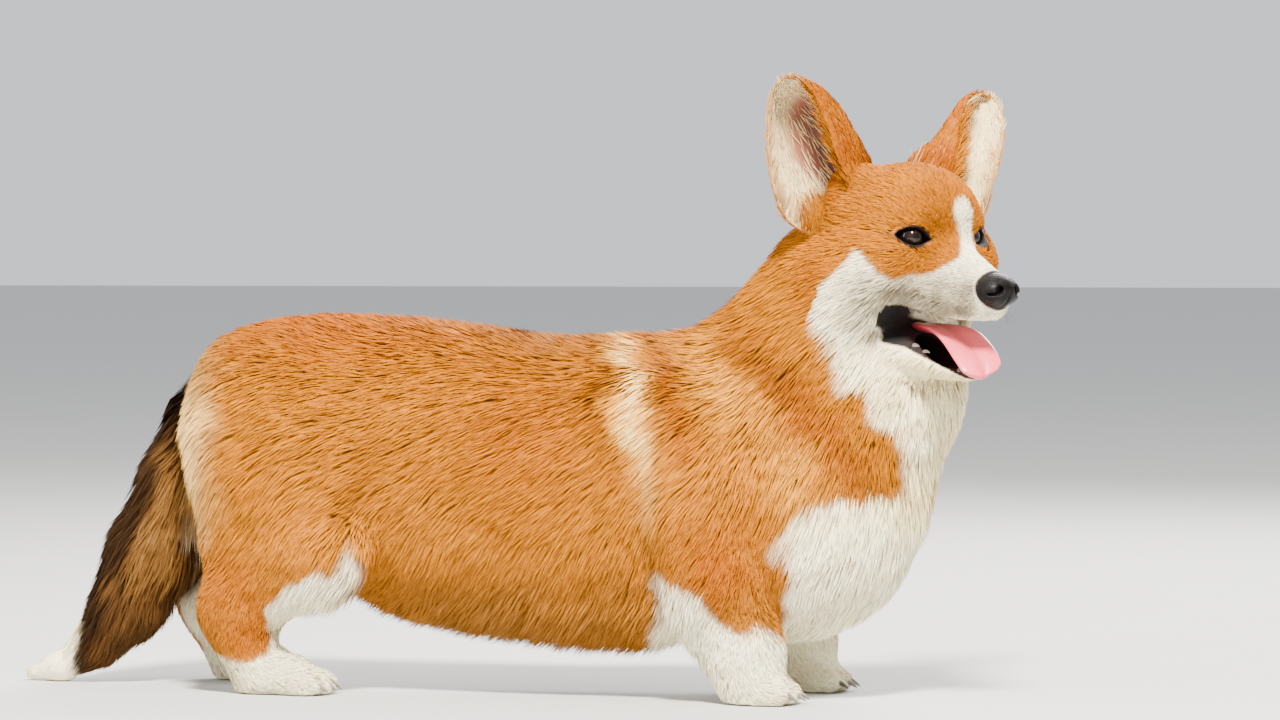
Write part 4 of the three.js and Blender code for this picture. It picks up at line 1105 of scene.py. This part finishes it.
def build_ear(side, skin_look, fur_look):
    name = "ear_right" if side < 0 else "ear_left"
    verts, faces, inside, outside = ear_mesh(side)
    rings, wide = inside.shape[:2]
    row = np.concatenate([np.arange(wide), np.arange(wide)[::-1]])
    near = (np.arange(rings)[:, None] * wide + row[None]).ravel()
    face_in = np.tile(np.repeat([1.0, 0.0], wide), rings)
    ear = new_mesh(f"{name}_skin", verts, faces, ear_paint(verts, near, face_in, wide, rings)[0])
    unwrap(ear)
    placed(ear, skin_look, [name])
    roots, normals, uv = scattered(ear.data, EAR_TUFTS, lambda p: np.ones(len(p)))
    flat, behind = inside.reshape(-1, 3), outside.reshape(-1, 3)
    tree = kdtree.KDTree(len(flat))
    for number, point in enumerate(flat.tolist()):
        tree.insert(point, number)
    tree.balance()
    near = np.array([tree.find(root)[1] for root in roots.tolist()])
    face_in = ((normals * (flat[near] - behind[near])).sum(-1) > 0).astype(float)
    colour, s, t, hollow = ear_paint(roots, near, face_in, wide, rings)

    # Hair runs up the back of the ear. Inside it fans from the front edge over the hollow.
    rise = unit(inside[-1].mean(axis=0) - inside[0].mean(axis=0))
    to_rim = unit(inside[:, 0].mean(axis=0) - inside[:, -1].mean(axis=0))
    flow = rise + RNG.normal(0, 0.16, roots.shape) + to_rim * (face_in * (s - 0.35) * 1.5)[:, None]
    inner_length = np.interp(t, (0, 0.45, 0.8, 1), (24, 17, 9, 5)) * np.where(s > 0.62, 1.25, 0.85)
    length = np.where(face_in > 0.5, inner_length, np.interp(t, (0, 0.4, 1), (14, 8, 5)))
    length = length * RNG.uniform(0.65, 1.2, len(roots))
    keep = (face_in < 0.5) | (RNG.random(len(roots)) < np.where(hollow > 0.45, 0.12, 0.95))
    lift = np.where(face_in > 0.5, 0.13, 0.1) + RNG.uniform(0, 0.08, len(roots))
    paths = np.empty((len(roots), 4, 3), dtype=np.float32)
    way = along(flow, normals)
    for n in range(4):
        rise_here = normals * (length * lift * TUFT[n] ** 0.8)[:, None]
        paths[:, n] = roots + way * (length * TUFT[n])[:, None] + rise_here
    colour = toward(colour, PALE, face_in * smooth(hollow, 0.3, 0.6) * 0.6)
    colour = colour * RNG.uniform(0.85, 1.1, len(roots))[:, None]
    width = RNG.uniform(0.6, 1.1, len(roots))
    table = tufts_table(paths, normals, width, RNG.normal(0, 0.4, len(roots)), colour, uv)
    coat_pieces(f"{name}_fur", table, keep, fur_look)


def sphere(rings=40, around=56):
    """A ball of radius 1 about the origin."""
    lat = np.linspace(0, np.pi, rings)[1:-1]
    lon = np.linspace(0, 2 * np.pi, around, endpoint=False)
    grid = np.stack([np.outer(np.sin(lat), np.cos(lon)), np.outer(np.sin(lat), np.sin(lon)),
                     np.outer(np.cos(lat), np.ones(around))], -1).reshape(-1, 3)
    verts = np.vstack([grid, (0, 0, 1), (0, 0, -1)])
    quads = ring_quads(rings - 2, around)[:, [0, 3, 2, 1]]
    s = np.arange(around)
    nxt = (s + 1) % around
    last = (rings - 3) * around
    top = np.stack([s, nxt, np.full(around, len(verts) - 2)], -1)
    low = np.stack([last + nxt, last + s, np.full(around, len(verts) - 1)], -1)
    return verts, np.concatenate([quads[:, [0, 1, 2]], quads[:, [0, 2, 3]], top, low])


def build_eyes(look):
    for side, name in ((-1, "eye_right"), (1, "eye_left")):
        local, tris = sphere()
        gaze = math.radians(side * (EYE_TURN - 14))
        aim = vec(math.cos(gaze), math.sin(gaze), 0.02)
        off = np.degrees(np.arccos(np.clip(local @ unit(aim), -1, 1)))
        bulge = EYE_RADIUS + 0.5 * smooth(off, 36, 22)
        spoke = lattice(local * vec(1, 9, 9), 0.6, 4)
        iris = linear(0.12, 0.06, 0.03) * (0.6 + 0.9 * spoke)[:, None]
        colour = toward(iris, BLACK * 0.3, smooth(off, 17, 14))
        colour = toward(colour, linear(0.06, 0.03, 0.02), smooth(off, 33, 37))
        verts = from_head(local * bulge[:, None] + vec(EYE_AT[0], side * EYE_AT[1], EYE_AT[2]))
        placed(new_mesh(f"{name}_ball", verts, tris, colour), look, [name])


def small_surface(low, high, step, field, rounds=2):
    """A fine surface of its own for a small form of the head, given in the head frame."""
    lines = [np.arange(low[n], high[n] + step, step, dtype=np.float32) for n in range(3)]
    points = np.stack(np.meshgrid(*lines, indexing="ij"), -1)
    verts, quads = surface(field(points).astype(np.float32), lines)
    return relaxed(verts, quads, rounds), quads


def nose_field(q):
    m = both_sides(q)
    pad = ellipsoid(m, NOSE_AT, NOSE_RADII)
    pad = smooth_union(pad, ellipsoid(m, (58, 9, -42), (12, 9, 9.5)), 3)
    turn = math.radians(28)
    d = m - vec(69, 8.4, -41)
    inward = d[..., 0] * math.cos(turn) + d[..., 1] * math.sin(turn)
    across = -d[..., 0] * math.sin(turn) + d[..., 1] * math.cos(turn)
    hole = np.stack([inward, across, d[..., 2] + 0.25 * d[..., 1]], -1)
    pad = carved(pad, ellipsoid(hole, (0, 0, 0), (9, 3.1, 3.6)), 1.5)
    slit = ellipsoid(m, (69, 14.5, -44), (7, 5.5, 1.3))
    pad = carved(pad, slit, 1)
    groove = np.maximum(np.abs(q[..., 1]) - 0.35, (58 - q[..., 0]) * 0.2)
    groove = groove + np.maximum(q[..., 2] + 44, 0) * 0.3
    return pad + 1.4 * np.exp(-(np.maximum(groove, 0) / 0.8) ** 2)


def build_nose(look):
    low = [NOSE_AT[n] - NOSE_RADII[n] - 3 for n in range(3)]
    high = [NOSE_AT[n] + NOSE_RADII[n] + 3 for n in range(3)]
    verts, quads = small_surface(low, high, 0.8, nose_field)
    placed(new_mesh("nose_leather", from_head(verts), quads), look, ["nose"])


def build_tongue(look):
    rings, around = 40, 28
    ts = np.linspace(0, 1, rings)
    path = spline(TONGUE_PATH, ts)
    half = spline(TONGUE_HALF_WIDTH, ts)[:, 1] * np.interp(ts, (0, 0.86, 0.95, 1), (1, 1, 0.86, 0.55))
    run = unit(np.gradient(path, axis=0))
    normal = np.stack([-run[:, 2], np.zeros(rings), run[:, 0]], -1)
    angle = np.linspace(0, 2 * np.pi, around, endpoint=False)
    groove = -1.6 * np.exp(-((np.cos(angle) / 0.22) ** 2)) * (np.sin(angle) > 0)
    edge = 2.2 * np.abs(np.cos(angle)) ** 3
    rise = 4.0 * np.sin(angle) + groove + edge
    verts = path[:, None] + normal[:, None] * rise[None, :, None]
    lean = math.radians(TONGUE_ROLL) * smooth(ts, 0.1, 0.5)
    across = np.stack([np.zeros(rings), np.cos(lean), np.zeros(rings)], -1) + normal * np.sin(lean)[:, None]
    verts = verts + across[:, None] * (half[:, None] * np.cos(angle)[None])[..., None]
    verts = np.vstack([verts.reshape(-1, 3), path[0], path[-1] + run[-1] * 3])
    quads = ring_quads(rings, around)
    tris = np.concatenate([quads[:, [0, 1, 2]], quads[:, [0, 2, 3]]])
    s = np.arange(around)
    nxt = (s + 1) % around
    last = (rings - 1) * around
    ends = np.concatenate([np.stack([nxt, s, np.full(around, rings * around)], -1),
                           np.stack([last + s, last + nxt, np.full(around, rings * around + 1)], -1)])
    # Painted shade: the tongue darkens towards its back, inside the mouth, and along the groove down its
    # middle.
    shade = np.repeat(smooth(ts, 0, 0.3), around)
    middle = np.tile(np.exp(-((np.cos(angle) / 0.3) ** 2)) * (np.sin(angle) > 0), rings)
    colour = toward(linear(0.45, 0.10, 0.12), linear(0.90, 0.34, 0.40), shade)
    colour = colour * (1 - 0.22 * middle)[:, None]
    colour = np.vstack([colour, colour[:1], colour[-1:]])
    tongue = new_mesh("tongue_flesh", from_head(verts), np.concatenate([tris, ends]), colour)
    placed(tongue, look, ["tongue"])


def build_teeth(look):
    """Short cones along the lower jaw, the canines longest, with a small upper row behind the lips."""
    verts, faces = [], []
    rows = [(f, l, h, r, 1) for l in (-1, 1) for f, h, r in
            ((25, 3.5, 1.9), (-4, 2.6, 3), (-13, 3, 3.2))]
    rows += [(f, l, h, r, -1) for l in (-1, 1) for f, h, r in
             ((40, 4.5, 2), (8, 3.5, 3), (-3, 5, 3.4), (-12, 5, 3.2))]
    around = 8
    for f, l, height, radius, up in rows:
        if up > 0:
            foot = (f, l * np.interp(f, (-13, 27), (20, 8)), np.interp(f, (-20, 60), (-79, -119)) - 2.6)
        else:
            foot = (f, l * np.interp(f, (-3, 43), (24, 10)), np.interp(f, (-6, 22), (-53.5, -60)))
        base = len(verts)
        for level, share in ((0, 1), (0.5, 0.85), (0.85, 0.45)):
            for a in np.linspace(0, 2 * np.pi, around, endpoint=False):
                verts.append((foot[0] + 1.25 * radius * share * math.cos(a) - level * 0.8,
                              foot[1] + radius * share * math.sin(a), foot[2] + up * height * level))
        verts.append((foot[0] - 1, foot[1], foot[2] + up * height))
        faces += tube_faces(base, 3, around)
        top = base + 2 * around
        faces += [(top + i, top + (i + 1) % around, base + 3 * around) for i in range(around)]
    faces = [face if rows[min(face) // (3 * around + 1)][4] > 0 else face[::-1] for face in faces]
    placed(new_mesh("teeth", from_head(np.array(verts)), np.array(faces)), look)


def build_claws(look):
    """Blunt horn claws, one from each toe."""
    verts, faces = [], []
    around, rings = 8, 6
    for kind in STANCE:
        for y in (-1, 1):
            for t in TOES:
                x = STANCE[kind][y] + PAW_AHEAD[kind] + PAW_LENGTH * 0.32 - abs(t) * 0.4 + 13
                centre = np.array([x, y * STANCE_OUT[kind] + t, 9.0])
                base = len(verts)
                for r in range(rings):
                    u = r / (rings - 1)
                    spot = centre + (9.5 * u, 0, -5.2 * u**1.6)
                    radius = 2.5 * (1 - u) ** 0.6 + 0.25
                    for a in np.linspace(0, 2 * np.pi, around, endpoint=False):
                        verts.append(spot + (0, 0.8 * radius * math.cos(a), radius * math.sin(a)))
                faces += tube_faces(base, rings, around)
                last = base + (rings - 1) * around
                faces += [(last, last + i, last + i + 1) for i in range(1, around - 1)]
    placed(new_mesh("claws", np.array(verts), np.array(faces)), look)


def build_whiskers(look):
    """Fine tapering whiskers on the sides of the muzzle."""
    count = 22
    side = np.repeat([-1, 1], count // 2)
    forward, out = RNG.uniform(30, 50, count), side * RNG.uniform(12, 17, count)
    root = np.stack([forward, out, RNG.uniform(-58, -46, count)], -1)
    way = unit(np.stack([RNG.uniform(-0.5, 0.7, count), side * 1.0, RNG.uniform(-0.7, 0.1, count)], -1))
    length = RNG.uniform(14, 32, count)
    paths = np.stack([root + way * (length * t)[:, None] + vec(0, 0, -4) * t * t for t in TUFT], 1)
    normals = np.tile(vec(0, 0, 1), (count, 1))
    paths = from_head(paths.reshape(-1, 3)).reshape(-1, 4, 3)
    colour = np.tile(linear(0.35, 0.3, 0.26), (count, 1))
    width, roll, spot = np.full(count, 0.45), np.zeros(count), np.full((count, 2), 0.5)
    verts, faces, colours, corners = tufts(paths, normals, width, roll, colour, spot)
    placed(new_mesh("whiskers", verts, faces, colours, corners, flat=True), look)


def build_dog():
    outline, skin_field = build_fields()
    verts, quads = surface(skin_field.values, (XS, YS, ZS))
    verts = relaxed(verts, quads, 2, 0.4)
    colour, _ = mouth_paint(verts, coat_colour(verts.astype(np.float32)))
    skin = new_mesh("skin", verts, quads, colour)
    unwrap(skin)
    flesh = ["torso", "neck", "head", "lower_jaw", "tail"]
    limbs = ("foreleg", "hindleg", "forepaw", "hindpaw")
    flesh += [f"{limb}_{side}" for limb in limbs for side in ("right", "left")]
    placed(skin, skin_material(), flesh)

    fur = fur_material("fur", 0.55, 0.03)
    roots, table = body_coat(skin, outline, BODY_TUFTS)
    x, y, z = roots.T
    head = (head_mass(roots) < 8) & (x > 120)
    tail = (tail_mass(roots) < 2) & (x < -352)
    legs = ~head & ~tail & (z < 96) & ((x < -200) | (x > 40)) & (np.abs(y) > 30)
    neck = ~head & ~legs & (x > 90) & (z > 190)
    chest = ~head & ~legs & ~neck & (x > 90)
    rump = ~tail & ~legs & (x < -240)
    rest = ~(head | tail | legs | neck | chest | rump)
    regions = [("coat_head", head, "coat_red"), ("coat_tail", tail, "coat_tail"),
               ("coat_legs", legs, "coat_white"), ("coat_neck", neck, "coat_ruff"),
               ("coat_chest", chest, "coat_ruff")]
    for name, chosen in (("coat_rump", rump), ("coat_trunk", rest)):
        regions.append((f"{name}_right", chosen & (y < 0), "coat_red"))
        regions.append((f"{name}_left", chosen & (y >= 0), "coat_red"))
    for name, chosen, slot in regions:
        coat_pieces(name, table, chosen, fur)
    for side in (-1, 1):
        build_ear(side, painted_wet("ear_skin_right" if side < 0 else "ear_skin_left", 0.6, 0.0, 0.3), fur)
    build_eyes(painted_wet("eye_glass", 0.12, 0.45, 0.02, 0.12))
    nose_tints = (0.003, 0.0025, 0.0025), (0.007, 0.006, 0.006)
    build_nose(leather_material("nose_leather", *nose_tints, 0.4, 900, 0.0006, 0.02))
    build_tongue(painted_wet("tongue_flesh", 0.34, 0.35, 0.35))
    # Painted shade: the teeth are coloured a dark grey-brown, as they look deep in the shaded mouth.
    build_teeth(leather_material("tooth", (0.09, 0.075, 0.06), (0.15, 0.13, 0.10), 0.3, 300, 0.0001, 0.1))
    build_claws(leather_material("claw_horn", (0.10, 0.08, 0.07), (0.35, 0.29, 0.24), 0.4, 400, 0.0002))
    build_whiskers(fur)


# The photo's view: level, from a little ahead of the right side, with a long lens.
CAMERA_AZIMUTH = math.radians(14)
CAMERA_DISTANCE = 4.2
CAMERA_HEIGHT = 0.36
CAMERA_PITCH = math.radians(-1.255)
FOCAL_PIXELS = 5250
IMAGE_WIDTH = 1280


def build_camera():
    camera = bpy.data.cameras.new("camera")
    camera.sensor_width = 36
    camera.lens = FOCAL_PIXELS / IMAGE_WIDTH * camera.sensor_width
    obj = bpy.data.objects.new("camera", camera)
    offset = metres(vec(0, 0, 0))
    obj.location = (offset[0] + CAMERA_DISTANCE * math.sin(CAMERA_AZIMUTH),
                    offset[1] - CAMERA_DISTANCE * math.cos(CAMERA_AZIMUTH), CAMERA_HEIGHT)
    obj.rotation_euler = (math.pi / 2 + CAMERA_PITCH, 0, CAMERA_AZIMUTH)
    bpy.context.scene.collection.objects.link(obj)
    bpy.context.scene.camera = obj


def build_stage():
    size = 40.0
    mesh = bpy.data.meshes.new("floor")
    corners = [(-size, -size, 0), (size, -size, 0), (size, size, 0), (-size, size, 0)]
    mesh.from_pydata(corners, [], [(0, 1, 2, 3)])
    floor = bpy.data.objects.new("floor", mesh)
    material, tree, shader = node_material("floor", Roughness=0.9)
    grain = noise_of(tree, 6, 4.0)
    tint = mixed(tree, (0.50, 0.50, 0.49, 1), (0.54, 0.54, 0.53, 1), grain.outputs["Fac"])
    tree.links.new(tint, shader.inputs["Base Color"])
    mesh.materials.append(material)
    bpy.context.scene.collection.objects.link(floor)

    world = bpy.data.worlds.new("studio")
    world.use_nodes = True
    world.node_tree.nodes["Background"].inputs["Color"].default_value = (0.93, 0.95, 1.0, 1)
    world.node_tree.nodes["Background"].inputs["Strength"].default_value = 1.0
    bpy.context.scene.world = world


# Soft lamps: name, place and size across in metres, power in watts and colour.
LAMPS = [
    ("key", (0.9, -2.5, 3.4), 0.7, 900, (1.0, 0.96, 0.87)),
    ("fill", (-2.6, -2.2, 1.6), 2.2, 110, (1.0, 0.97, 0.92)),
    ("rim", (0.6, 2.2, 2.0), 1.6, 200, (1.0, 0.98, 0.95)),
]


def build_lamps():
    for name, place, size, power, colour in LAMPS:
        lamp = bpy.data.lights.new(name, "AREA")
        lamp.size = size
        lamp.energy = power
        lamp.color = colour
        obj = bpy.data.objects.new(name, lamp)
        obj.location = place
        aim = np.array(place) - (0, 0, 0.2)
        obj.rotation_euler = (math.atan2(math.hypot(aim[0], aim[1]), aim[2]), 0, math.atan2(aim[0], -aim[1]))
        bpy.context.scene.collection.objects.link(obj)


build_dog()
build_camera()
build_stage()
build_lamps()
